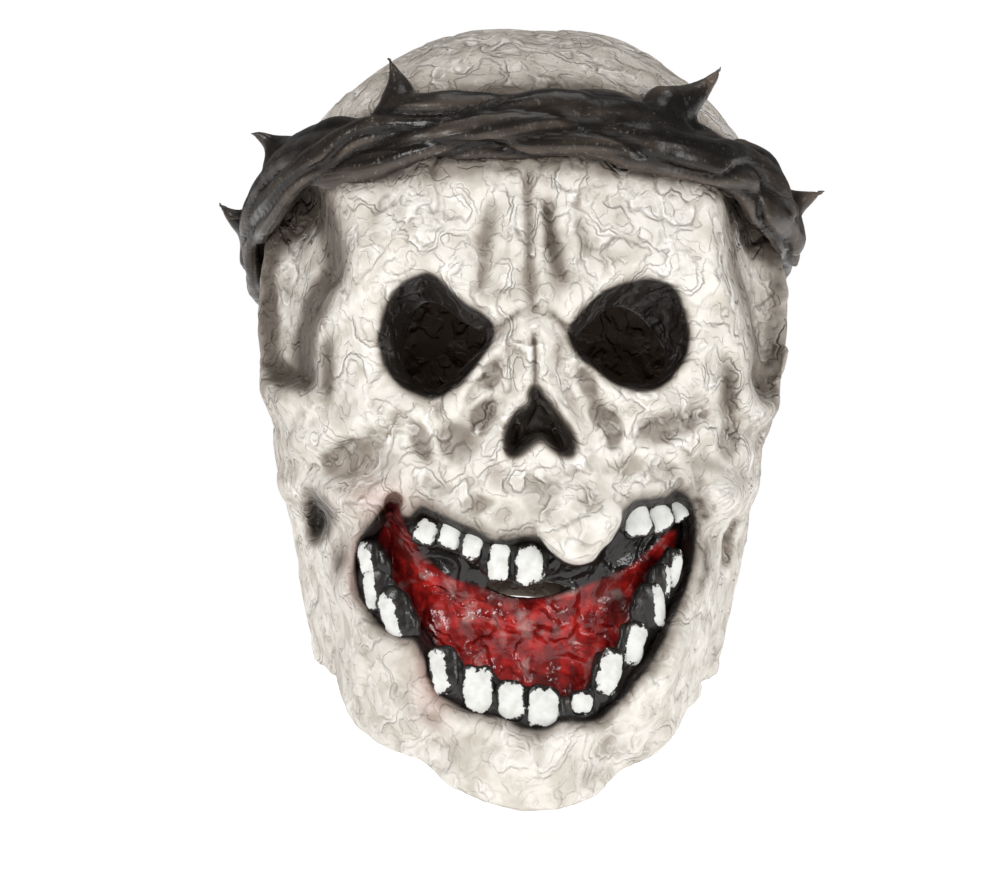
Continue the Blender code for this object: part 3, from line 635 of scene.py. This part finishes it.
def bone_surface(wire):
    place = marked(wire, "rest", 1)
    scab = noise(bent(place, 0.0042, 230), 76, 0.6)
    small = noise(bent(place, 0.0028, 360), 150, 0.6)
    gate, broken = noise(place, 40, 0.5), noise(place, 88, 1)
    brush, mottle, grain = noise(place, 105, 4), noise(place, 27, 3), noise(place, 620, 3)
    up = place.node("ShaderNodeSeparateXYZ", None, {0: place}, 2)
    jaw = ramp(up, -0.062, -0.088)
    height = (0.9 * ramp(scab, 0.37, 0.43) * ramp(gate, 0.42, 0.50)
              + 1.0 * ramp(scab, 0.48, 0.535) * ramp(broken, 0.38, 0.48)
              + 0.8 * ramp(scab, 0.58, 0.64) * ramp(gate, 0.60, 0.50)
              + 0.5 * ramp(small, 0.44, 0.51) * ramp(broken, 0.44, 0.56)
              + 0.5 * ramp(small, 0.56, 0.63) * ramp(broken, 0.58, 0.46)) * (1 - 0.35 * jaw)
    height = height + 0.12 * grain + 0.45 * brush
    short = ramp(noise(place, 118, 1), 0.50, 0.60) * (0.3 + 0.9 * brush) * (1 - 0.65 * jaw)
    # Painted shadow: a dark line along the low side of each scab's step
    foot = short * (
        ramp(scab, 0.44, 0.487) * ramp(scab, 0.522, 0.487) * ramp(broken, 0.42, 0.52)
        + ramp(scab, 0.55, 0.588) * ramp(scab, 0.622, 0.588) * ramp(gate, 0.58, 0.48)
        + 0.6 * ramp(small, 0.41, 0.45) * ramp(small, 0.49, 0.45) * ramp(broken, 0.48, 0.58))
    # Painted highlight: a pale line along the raised rim of each scab
    lip_highlight = (0.3 + 0.7 * short) * (
        ramp(scab, 0.505, 0.53) * ramp(scab, 0.585, 0.53) * ramp(broken, 0.40, 0.50)
        + ramp(scab, 0.605, 0.63) * ramp(scab, 0.68, 0.63)
        + 0.6 * ramp(small, 0.475, 0.50) * ramp(small, 0.54, 0.50))
    hollow = marked(wire, "hollow")
    # Grey dirt mixed with painted shade: the scabs' shadowed feet and the hollows, large and small,
    # are darkened, with random mottling on top; bone that stands proud is kept light
    dirt_and_shade = (0.55 * foot + 0.46 * ramp(hollow, 0.0, 0.65) + 0.24 * ramp(marked(wire, "basin"), 0.2, 2.2)
            + 0.32 * ramp(mottle, 0.46, 0.72))
    dirt_and_shade = wire.maths("MINIMUM", dirt_and_shade * (0.50 + 0.75 * brush), 1.0)
    colour = paint(ramp(brush, 0.40, 0.66), BONE_WHITE, BONE_CREAM)
    colour = paint(dirt_and_shade * (1 - 0.75 * ramp(hollow, -0.05, -0.45)), colour, BONE_GREY)
    # The brown wash with its painted shade, darker still along the scabs' shadowed feet
    wash_and_shade = marked(wire, "wash_and_shade") * (0.65 + 0.7 * brush + 0.35 * foot)
    colour = paint(0.85 * ramp(wash_and_shade, 0.0, 0.95), colour, BONE_GREY)
    colour = paint(0.85 * ramp(wash_and_shade, 0.45, 1.15), colour, WASH_AND_SHADE_BROWN)
    # Painted highlight on the scabs' rims, kept off the washed places
    colour = paint(0.70 * lip_highlight * (1 - ramp(wash_and_shade, 0.35, 1.0)), colour, (0.92, 0.905, 0.87))
    colour = paint(0.35 * marked(wire, "flush"), colour, (0.42, 0.18, 0.15))
    inked = ramp(marked(wire, "black") + 0.3 * (brush - 0.5), 0.15, 0.85)
    colour = paint(inked, colour, PAINT_BLACK)
    colour = paint(ramp(marked(wire, "raw"), 0.35, 0.75), colour, (0.085, 0.007, 0.007))
    colour = paint(marked(wire, "inside"), colour, RAW_LATEX)
    return {"Base Color": colour, "Roughness": 0.46 + 0.16 * brush - 0.10 * inked,
            "Normal": raised(height, 0.0012)}


bone = finish("painted bone latex", bone_surface, {"IOR": 1.45, "Specular IOR Level": 0.4})


skull_front = cast_skin("skull_front_skin", False,
                        ("skull_front", "jaw_skin", "cheek_web_right", "cheek_web_left"))
skull_rear = cast_skin("skull_rear_skin", True, ("skull_rear",))
for skull in (skull_front, skull_rear):
    skull.data.materials.append(bone)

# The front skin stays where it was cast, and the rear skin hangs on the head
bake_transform(skull_front)
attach(skull_rear, "head")

# ---- Gums ---------------------------------------------------------------------------------------
# Lumpy ridges of the same latex behind the lips, sprayed gloss black. A collar stands up round every
# tooth. The upper one stays with the skull, and the lower one is left where it was cast.

# Teeth, in millimetres: across, up, width, height, lean to +X at the top in degrees, and the part of
# the width that is painted white, from -1 at one side to 1 at the other
UPPER_TEETH = (
    (-33.5, -70.2, 8.2, 9.0, 25, -1, 1), (-25.1, -71.0, 7.6, 9.4, 16, -1, 1),
    (-17.4, -74.4, 7.4, 9.8, 14, -1, 1), (-8.0, -79.6, 7.8, 13.4, 2, -1, 1),
    (2.6, -80.6, 9.8, 13.8, -5, -1, 1), (40.2, -63.5, 10.4, 11.8, -18, -1, 1),
    (48.4, -62.5, 9.4, 9.8, -34, -1, 1), (55.4, -59.5, 6.6, 8.0, -28, -1, 1),
)
LOWER_TEETH = (
    (-52.8, -81.5, 8.4, 14.0, -14, -1.0, 0.35), (-50.2, -91.8, 8.8, 14.5, -8, -1.05, 0.15),
    (-43.2, -100.2, 10.2, 19, -19, -1.05, 0.2), (-25.6, -118.9, 10.0, 15.8, -12, -1.0, 0.3),
    (-13.7, -125.1, 10.6, 15.8, -4, -1, 1), (-2.0, -128.4, 9.4, 13.6, -7, -1, 1),
    (9.2, -130.2, 11.0, 13.8, 3, -1, 1), (22.6, -128.4, 8.2, 7.6, 0, -1, 1),
    (32.0, -117.8, 8.8, 15.2, 12, -1, 1), (40.6, -107.8, 8.2, 15.4, 11, -0.9, 1),
    (47.0, -94.4, 9.6, 15.6, -8, -0.1, 1.1), (50.4, -85.9, 6.0, 12.8, -2, 0.1, 1.1),
    (53.8, -80.5, 6.6, 13.0, 10, -0.5, 1.1),
)
TOOTH_DEEP = 6.0
ROW_FRONT, ROW_BOW, ROW_HALF = -108 * MM, 27 * MM, 58 * MM  # foremost point, bow and half width


def row_depth(x):
    """Where the tooth rows lie, front to back, at a distance across."""
    return ROW_FRONT + ROW_BOW * (x / ROW_HALF) ** 2


def row_turn(x):
    """How far a row has turned there, as an angle."""
    return math.atan(2 * ROW_BOW * x / ROW_HALF ** 2)


def hang(piece, row_name):
    """The upper row stays with the skull, and the lower one is left where it was cast."""
    if row_name == "upper":
        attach(piece, "head")
    else:
        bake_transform(piece)


def gum_form(block, teeth, root, length):
    """A ridge through the teeth's roots with a collar round each tooth."""
    away = block.y - row_depth(block.x)
    middles = smooth_line([(t[0], t[1] + root * t[3] * 0.32) for t in teeth]) * MM
    strip = distance_to(middles, block.x[:, :, 0], block.z[:, 0, :])[:, None, :]
    ridge = (np.sqrt((strip / length) ** 2 + ((away - 0.0045) / 0.0048) ** 2) - 1) * 0.004
    for across, up, wide, tall, lean, _, _ in teeth:
        c, s = math.cos(math.radians(lean)), math.sin(math.radians(lean))
        dx, dz = block.x - across * MM, block.z - (up + root * 1.6) * MM
        a = (dx * c - dz * s) / ((wide / 2 + 2.4) * MM)
        h = (dz * c + dx * s) / ((tall / 2 + 1.6) * MM)
        b = (away - 2.6 * MM) / (4.6 * MM)
        reach = (np.abs(a) ** 2.6 + np.abs(h) ** 2.6 + np.abs(b) ** 2.6) ** (1 / 2.6)
        ridge = melt(ridge, ((reach - 1) * 0.0042).astype(np.float32), 1.3 * MM)
    return ridge + 0.55 * MM * block.lumps(0.0045, 7) + 0.25 * MM * block.lumps(0.0022, 8)


def gum_surface(wire):
    place = marked(wire, "rest", 1)
    speck = noise(place, 420, 4)
    worn = noise(place, 140, 3)
    colour = paint(ramp(worn, 0.45, 0.75), (0.010, 0.0085, 0.0078), (0.035, 0.029, 0.025))
    colour = paint(0.5 * ramp(speck, 0.66, 0.74), colour, (0.16, 0.14, 0.12))
    return {"Base Color": colour, "Roughness": 0.20 + 0.25 * worn,
            "Normal": raised(speck + 2 * worn, 0.0004)}


gum_black = finish("gum latex", gum_surface, {"IOR": 1.45})
upper_block = Clay((-0.044, -0.116, -0.092), (0.064, -0.066, -0.050), 0.85 * MM)
upper_block.form = gum_form(upper_block, UPPER_TEETH[:5], 1, 0.0040)
right_side = gum_form(upper_block, UPPER_TEETH[5:], 1, 0.0040)
upper_block.form = np.minimum(upper_block.form, right_side)
lower_block = Clay((-0.063, -0.116, -0.142), (0.063, -0.060, -0.070), 0.85 * MM)
lower_block.form = gum_form(lower_block, LOWER_TEETH, -1, 0.0052)
for block, row_name in ((upper_block, "upper"), (lower_block, "lower")):
    gum = block.cast(f"{row_name}_gum_latex")
    mark(gum, "rest", corners(gum))
    gum.data.materials.append(gum_black)
    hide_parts(f"{row_name}_gum")
    hang(gum, row_name)

# ---- Teeth --------------------------------------------------------------------------------------
# Twenty-one blunt pegs cast with the gums. Each was sprayed black with them and then brushed white by
# hand on its front, so that the paint stops short of the sides with a ragged edge.
def tooth_surface(wire):
    place = marked(wire, "rest", 1)
    ragged = noise(place, 330, 4, roughness=0.65)
    stroke_marks = noise(place, 900, 2)
    white = ramp(marked(wire, "white") + 4.6 * (ragged - 0.5), 0.25, 0.55)
    black = paint(ramp(ragged, 0.5, 0.75), (0.011, 0.0095, 0.0085), (0.045, 0.037, 0.031))
    colour = paint(ramp(noise(place, 260, 3), 0.35, 0.75), (0.71, 0.715, 0.69), (0.58, 0.575, 0.54))
    return {"Base Color": paint(white, black, colour), "Roughness": 0.24 + 0.16 * white + 0.1 * ragged,
            "Normal": raised(0.8 * white + 0.5 * ragged + 0.25 * stroke_marks, 0.0004)}


tooth_white = finish("tooth paint", tooth_surface, {"IOR": 1.45})
for row_name, teeth, root in (("upper", UPPER_TEETH, 1), ("lower", LOWER_TEETH, -1)):
    for number, (across, up, wide, tall, lean, from_side, to_side) in enumerate(teeth, 1):
        half = np.array([wide / 2 + 0.5, TOOTH_DEEP / 2, tall / 2 + 1.0]) * MM
        peg = Clay(-half * 1.3, half * 1.3, 0.55 * MM)
        taper = 1 - 0.13 * root * peg.z / half[2]
        a, b, h = (np.abs(v) for v in (peg.x / (half[0] * taper), peg.y / half[1], peg.z / half[2]))
        reach = ((a ** 3.2 + h ** 3.2) ** (2.3 / 3.2) + b ** 2.3) ** (1 / 2.3)
        peg.form = ((reach - 1) * half[1]).astype(np.float32)
        peg.form += 0.30 * MM * peg.lumps(0.004, 20 + number + 30 * (root > 0))
        tooth = peg.cast(f"{row_name}_tooth_{number}_painted")
        points = corners(tooth)
        shift, share = (from_side + to_side) / 2, (to_side - from_side) / 2
        a = (points[:, 0] / MM / (wide / 2) - shift) / share
        h = points[:, 2] / MM / (tall / 2)
        white = (1 - (np.abs(a) ** 4 + np.abs(h) ** 4) ** (1 / 4)) * share * wide / 2 + 0.05
        mark(tooth, "white", np.minimum(white, -points[:, 1] / MM + 0.2))
        turned = (Matrix.Translation((across * MM, row_depth(across * MM) - 0.6 * MM, up * MM))
                  @ Matrix.Rotation(row_turn(across * MM) * 0.5, 4, "Z")
                  @ Matrix.Rotation(math.radians(lean), 4, "Y"))
        tooth.data.transform(turned)
        mark(tooth, "rest", corners(tooth))
        tooth.data.materials.append(tooth_white)
        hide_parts(f"{row_name}_tooth_{number}")
        hang(tooth, row_name)

# ---- Mouth lining -------------------------------------------------------------------------------
# A thin latex membrane glued behind both gums. It is painted wet red, is black along the top and the
# edges, and has a slit to breathe through.
SLIT = ((-12, -88.5), (-6, -91.2), (2, -92.4), (10, -91.6), (16.5, -88.5), (10, -86.8), (2, -86.4),
        (-6, -86.8))
RED_EDGE = ((-47, -61), (-43.5, -66), (-41, -73), (-36, -79.5), (-27, -85), (-16, -88.5), (0, -92.5),
            (14, -90.5), (26, -86), (38, -80.5), (46, -74), (53, -67))

lining = Clay((-0.064, -0.108, -0.146), (0.066, -0.055, -0.052), 0.8 * MM)
x_map, z_map = lining.x[:, :, 0], lining.z[:, 0, :]
inside_lips = within(MOUTH, x_map, z_map)
sheet = row_depth(x_map) + 10.5 * MM + 5 * MM * eased(inside_lips, 0, 0.022)
swell = lining.lumps(0.012, 11)[:, :1, :][:, 0], lining.lumps(0.006, 12)[:, :1, :][:, 0]
worms = lining.lumps(0.009, 13)[:, :1, :][:, 0]
sheet -= (1.5 * swell[0] + 0.6 * swell[1]) * MM
sheet -= 1.1 * MM * eased(worms, -0.1, 0.25) + 0.9 * MM * eased(worms + 0.4 * swell[1], 0.30, 0.55)
sheet -= 3.0 * MM * stroke(((-47, -61), (-43, -71), (-38, -81), (-30, -90)), 4.5, x_map, z_map)
sheet -= 2.5 * MM * stroke(((54, -67), (46, -76), (38, -83)), 4.5, x_map, z_map)
lining.form = np.abs(lining.y - sheet[:, None, :]) - 0.8 * MM
lining.form = np.maximum(lining.form, -(inside_lips + 2.5 * MM)[:, None, :])
lining.form = carve(lining.form, -within(SLIT, x_map, z_map)[:, None, :], 0.6 * MM).astype(np.float32)


def lining_surface(wire):
    place = marked(wire, "rest", 1)
    fold = noise(bent(place, 0.004, 200), 62, 0.5)
    streak = noise(place, 170, 3, roughness=0.55)
    height = ramp(fold, 0.39, 0.47) + ramp(fold, 0.52, 0.60) + 0.7 * streak
    # Painted shade: dark lines at the foot of each fold
    foot = (ramp(fold, 0.50, 0.55) * ramp(fold, 0.575, 0.55)
            + ramp(fold, 0.37, 0.42) * ramp(fold, 0.445, 0.42))
    colour = paint(ramp(streak, 0.38, 0.66), (0.17, 0.007, 0.007), (0.46, 0.018, 0.015))
    # painted shade along the folds
    colour = paint(0.30 * foot, colour, (0.045, 0.004, 0.004))
    colour = paint(0.60 * ramp(noise(place, 46, 3), 0.50, 0.66), colour, (0.055, 0.016, 0.014))
    # Painted highlight: pale glossy patches on the wet red
    painted_gleam = ramp(noise(bent(place, 0.01, 60), 130, 3), 0.54, 0.72)
    colour = paint(0.34 * painted_gleam, colour, (0.55, 0.48, 0.44))
    black = ramp(marked(wire, "black") + 0.35 * (streak - 0.5), 0.2, 0.8)
    colour = paint(black, colour, (0.012, 0.010, 0.009))
    return {"Base Color": colour, "Roughness": 0.12 + 0.20 * streak, "Normal": raised(height, 0.0010)}


membrane = lining.cast("mouth_lining_painted")
points = corners(membrane)
x, y, z = points.T
edge = smooth_line(RED_EDGE) * MM
above = (z - np.interp(x, edge[:, 0], edge[:, 1])) / MM
black = np.maximum(eased(above, -4, 2.5), eased(within(MOUTH, x, z) / MM, 9, 3.5))
black *= 1 - stroke(((-47, -61), (-43.5, -70), (-39, -80), (-32, -88)), 4.5, x, z)
mark(membrane, "rest", points)
mark(membrane, "black", black)
membrane.data.materials.append(finish("lining latex", lining_surface, {"IOR": 1.45}))
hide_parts("mouth_lining")
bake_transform(membrane)

# ---- Bramble circlet ----------------------------------------------------------------------------
# Three thorny stems twisted round the brow, cast with the skull and brushed brown-black. They run low
# round the back, spread at the temples, and have hooked thorns and drooping stubs.
STEMS, STEM_TURNS = 3, 3
STEM_OUT, STEM_UP = 5.6 * MM, 9.0 * MM      # a stem's half thickness, and its half height
THORN_ROOM = 12 * MM                        # clay worked round a thorn's middle line
# Degrees round from the brow, height, length, base radius, then outward, round and up at foot and tip
THORNS = (
    (-33, 80, 19, 7.5, (0.1, 0.1, 1.0), (0.2, -0.6, 1.0)),
    (-74, 63, 18, 6.5, (0.5, -0.3, 0.8), (1.1, -0.2, 0.25)),
    (-97, 40, 19, 7.5, (1.0, 0.1, 0.1), (0.7, 0.0, 0.9)),
    (33, 83, 29, 9.0, (0.1, 1.0, 0.4), (0.3, 0.5, 1.0)),
    (60, 62, 20, 8.0, (0.6, 0.4, -0.3), (0.4, 0.6, -1.0)),
    (88, 53, 19, 7.5, (0.9, 0.2, 0.3), (1.0, 0.0, 0.55)),
    (132, 30, 15, 5.5, (0.6, 0.0, 0.8), (1.0, 0.4, 0.4)),
    (176, 22, 16, 6.0, (0.5, 0.0, 0.9), (0.9, -0.4, 0.5)),
    (-140, 28, 15, 5.5, (0.6, 0.2, 0.8), (1.0, -0.3, 0.4)),
    (94, 40, 11, 6.0, (0.7, 0.2, -0.7), (0.3, 0.5, -1.0)),
)


def stems(theta, out, up, wobble):
    """The three stems' joined form, and the length and turn of the nearest one, for its bark."""
    joined, best, grain = None, None, None
    spread = 5.2 * MM + 4.0 * MM * np.sin(theta) ** 2 * np.where(theta < 0, 1.15, 0.8)
    for number in range(STEMS):
        phase = STEM_TURNS * theta + math.tau * number / STEMS + 0.5 * np.sin(2 * theta + 1 + number)
        girth = 1 + 0.14 * np.sin(4 * theta + 2.1 * number) + 0.24 * wobble
        off_bone = 4.0 * MM - 2.6 * MM * eased(np.sin(theta), 0.3, 0.9) + 2.4 * MM * np.cos(phase)
        du = (out - off_bone) / (STEM_OUT * girth)
        dv = (up - spread * np.sin(phase)) / (STEM_UP * girth)
        turn = np.arctan2(dv, du)
        fold = np.abs(np.sin(1.5 * turn + 3.0 * theta + 2.0 * wobble + number))
        crease = np.abs(np.sin(3.5 * turn + 3 * wobble - theta))
        bark = 2.3 * (1 - fold) ** 1.5 + 0.2 * (1 - crease)
        form = (np.sqrt(du ** 2 + dv ** 2) - 1) * STEM_OUT + (bark - 0.5) * MM
        if number == 0:
            joined, best, grain = form, form, (turn, np.broadcast_to(theta, form.shape))
        else:
            nearer = form < best
            grain = np.where(nearer, turn, grain[0]), np.broadcast_to(theta, form.shape)
            best = np.minimum(form, best)
            joined = melt(joined, form, 0.7 * MM)
    return joined, grain


def head_side(theta, height):
    """A point of the plain head above eye level, and the directions outward and round it there."""
    share = (1 - (height / CROWN) ** DOME_SECTION) ** (1 / DOME_SECTION)
    depth = BROW if math.cos(theta) > 0 else BACK
    reach = ((abs(math.sin(theta)) / TEMPLE) ** SKIN_SECTION
             + (abs(math.cos(theta)) / depth) ** SKIN_SECTION) ** (-1 / SKIN_SECTION) * share
    outward = np.array([math.sin(theta), -math.cos(theta), 0])
    around = np.array([-outward[1], outward[0], 0])
    return outward * reach + np.array([0, 0, height]), outward, around


vine = Clay((-0.124, -0.130, -0.020), (0.124, 0.143, 0.113), 1.2 * MM)
out, lean_back, _ = plain_head(vine)
theta = np.arctan2(vine.x, -vine.y)
middle = circlet_height(theta)
lean_back = np.clip(lean_back, 0, 0.8)
up = (vine.z - middle - out * lean_back) / np.sqrt(1 - lean_back ** 2)
wobble = vine.lumps(0.021, 31)
vine.form, _ = stems(theta, out, up, wobble)
vine.form = vine.form.astype(np.float32)
for turn, height, length, thick, foot_way, tip_way in THORNS:
    foot, outward, around = head_side(math.radians(turn), height * MM)
    spine, here = [], foot + outward * 3.5 * MM
    for step in range(9):
        way = sum(((1 - step / 8) * f + step / 8 * t) * v
                  for f, t, v in zip(foot_way, tip_way, (outward, around, np.array([0, 0, 1]))))
        spine.append((here, thick * MM * (1 - step / 8) ** 1.25 + 0.45 * MM))
        here = here + way / np.linalg.norm(way) * length * MM / 8
    places = np.array([p for p, _ in spine])
    box = [places.min(0) - THORN_ROOM, places.max(0) + THORN_ROOM]
    cut = tuple(slice(max(int((a - low) / vine.step), 0), max(int((b - low) / vine.step), 1))
                for a, b, low in zip(*box, vine.low))
    x, y, z = vine.x[cut[0]], vine.y[:, cut[1]], vine.z[:, :, cut[2]]
    spike = np.full(vine.form[cut].shape, 0.05)
    for (p, r), (q, s) in zip(spine[:-1], spine[1:]):
        dx, dy, dz = q - p
        t = ((x - p[0]) * dx + (y - p[1]) * dy + (z - p[2]) * dz) / (dx * dx + dy * dy + dz * dz)
        t = np.clip(t, 0, 1)
        off = np.sqrt((x - p[0] - t * dx) ** 2 + (y - p[1] - t * dy) ** 2 + (z - p[2] - t * dz) ** 2)
        spike = np.minimum(spike, off - (r + (s - r) * t))
    vine.form[cut] = melt(vine.form[cut], spike.astype(np.float32), 3.5 * MM)
vine.form += 0.35 * MM * vine.lumps(0.005, 32)
vine.form = np.maximum(vine.form, -(out + 1.7 * MM))


def bramble_surface(wire):
    grain_place = marked(wire, "grain", 1)
    place = marked(wire, "rest", 1)
    bark = noise(grain_place, 2.6, 2, roughness=0.42)
    fleck = noise(place, 650, 3)
    ridge = ramp(marked(wire, "ridge"), -0.1, 0.55)
    colour = paint(ramp(bark, 0.35, 0.7), (0.0035, 0.0024, 0.0017), (0.017, 0.0115, 0.0082))
    # Painted highlights: the stems' ridges are lighter where the bark stands high, and flecked lighter
    # still
    colour = paint(0.70 * ridge * ramp(bark, 0.30, 0.62), colour, (0.115, 0.088, 0.068))
    colour = paint(0.6 * ridge * ramp(fleck, 0.58, 0.70), colour, (0.20, 0.18, 0.16))
    return {"Base Color": colour, "Roughness": 0.20 + 0.24 * bark,
            "Normal": raised(bark + 0.09 * fleck, 0.0015)}


bramble = vine.cast("bramble_circlet")
points = corners(bramble)
x, y, z = points.T
theta_at = np.arctan2(x, -y)
_, (turn, run) = stems(theta_at, *(vine.read(form, points) for form in (out, up, wobble)))
mark(bramble, "rest", points)
run = np.abs((run + 1.4) % math.tau - math.pi)
mark(bramble, "grain", np.stack([np.cos(turn) * 0.6, np.sin(turn) * 0.6, run * 0.5], 1))
# How far each point stands out from the stems around it; the paint lightens it there as painted
# highlight
mark(bramble, "ridge", vine.read(vine.blurred(vine.form, 1), points) / MM)
bramble.data.materials.append(finish("bramble latex", bramble_surface, {
    "IOR": 1.45, "Specular IOR Level": 0.38}))
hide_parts("bramble_stem_a", "bramble_stem_b", "bramble_stem_c",
            *[f"thorn_{k}" for k in range(1, 10)])
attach(bramble, "head")

# ---- Studio -------------------------------------------------------------------------------------
# A pale floor just under the reach of the open jaw, for the mask is worn on a head; soft light from
# both sides and above, and the camera.
FLOOR = cad_low[2] - 0.016      # the open jaw swings down 14 mm
floor_data = bpy.data.meshes.new("floor")
floor_data.from_pydata([(-9, -9, FLOOR), (9, -9, FLOOR), (9, 9, FLOOR), (-9, 9, FLOOR)], [],
                       [(0, 1, 2, 3)])
floor = bpy.data.objects.new("floor", floor_data)
bpy.context.scene.collection.objects.link(floor)


def paper_surface(wire):
    mottle = noise(wire.node("ShaderNodeTexCoord", None, None, 3), 3)
    return {"Base Color": paint(mottle, (0.82, 0.82, 0.82), (0.85, 0.85, 0.84))}


floor_data.materials.append(finish("pale paper", paper_surface, {
    "Roughness": 0.9, "Emission Color": (1, 1, 1, 1), "Emission Strength": 0.83}))


def softbox(name, place, aim, size, power):
    data = bpy.data.lights.new(name, "AREA")
    data.shape, data.size, data.energy = "SQUARE", size, power
    lamp = bpy.data.objects.new(name, data)
    lamp.location = place
    lamp.rotation_euler = (Vector(aim) - Vector(place)).to_track_quat("-Z", "Y").to_euler()
    bpy.context.scene.collection.objects.link(lamp)


softbox("softbox_left", (-1.25, -1.55, 1.0), (0, 0, -0.02), 0.6, 23.2)
softbox("softbox_right", (1.45, -1.35, 0.55), (0, 0, -0.02), 0.7, 15)
softbox("softbox_top", (0.1, -0.2, 1.8), (0, 0, 0), 1.0, 8)
sky = bpy.data.worlds.new("studio")
sky.use_nodes = True
air = Wire(sky.node_tree)
seen = air.node("ShaderNodeLightPath")
backdrop = sky.node_tree.nodes["Background"]
sky.node_tree.links.new((0.20 + 0.80 * seen).socket, backdrop.inputs["Strength"])
backdrop.inputs["Color"].default_value = (1, 1, 1, 1)
bpy.context.scene.world = sky

AZIMUTH, ROLL = math.radians(-1.6), math.radians(2)
CAMERA_AWAY = 1.608
aim = Vector((-0.0084, -0.075, -0.0373))
back = Vector((math.sin(AZIMUTH), -math.cos(AZIMUTH), 0))
camera = bpy.data.objects.new("camera", bpy.data.cameras.new("camera"))
camera.data.lens = 162
camera.data.sensor_width = 36
camera.location = aim + back * CAMERA_AWAY
camera.rotation_euler = (Matrix.Rotation(ROLL, 4, back)
                         @ (-back).to_track_quat("-Z", "Y").to_matrix().to_4x4()).to_euler()
bpy.context.scene.collection.objects.link(camera)
bpy.context.scene.camera = camera
bpy.context.scene.view_settings.view_transform = "Standard"
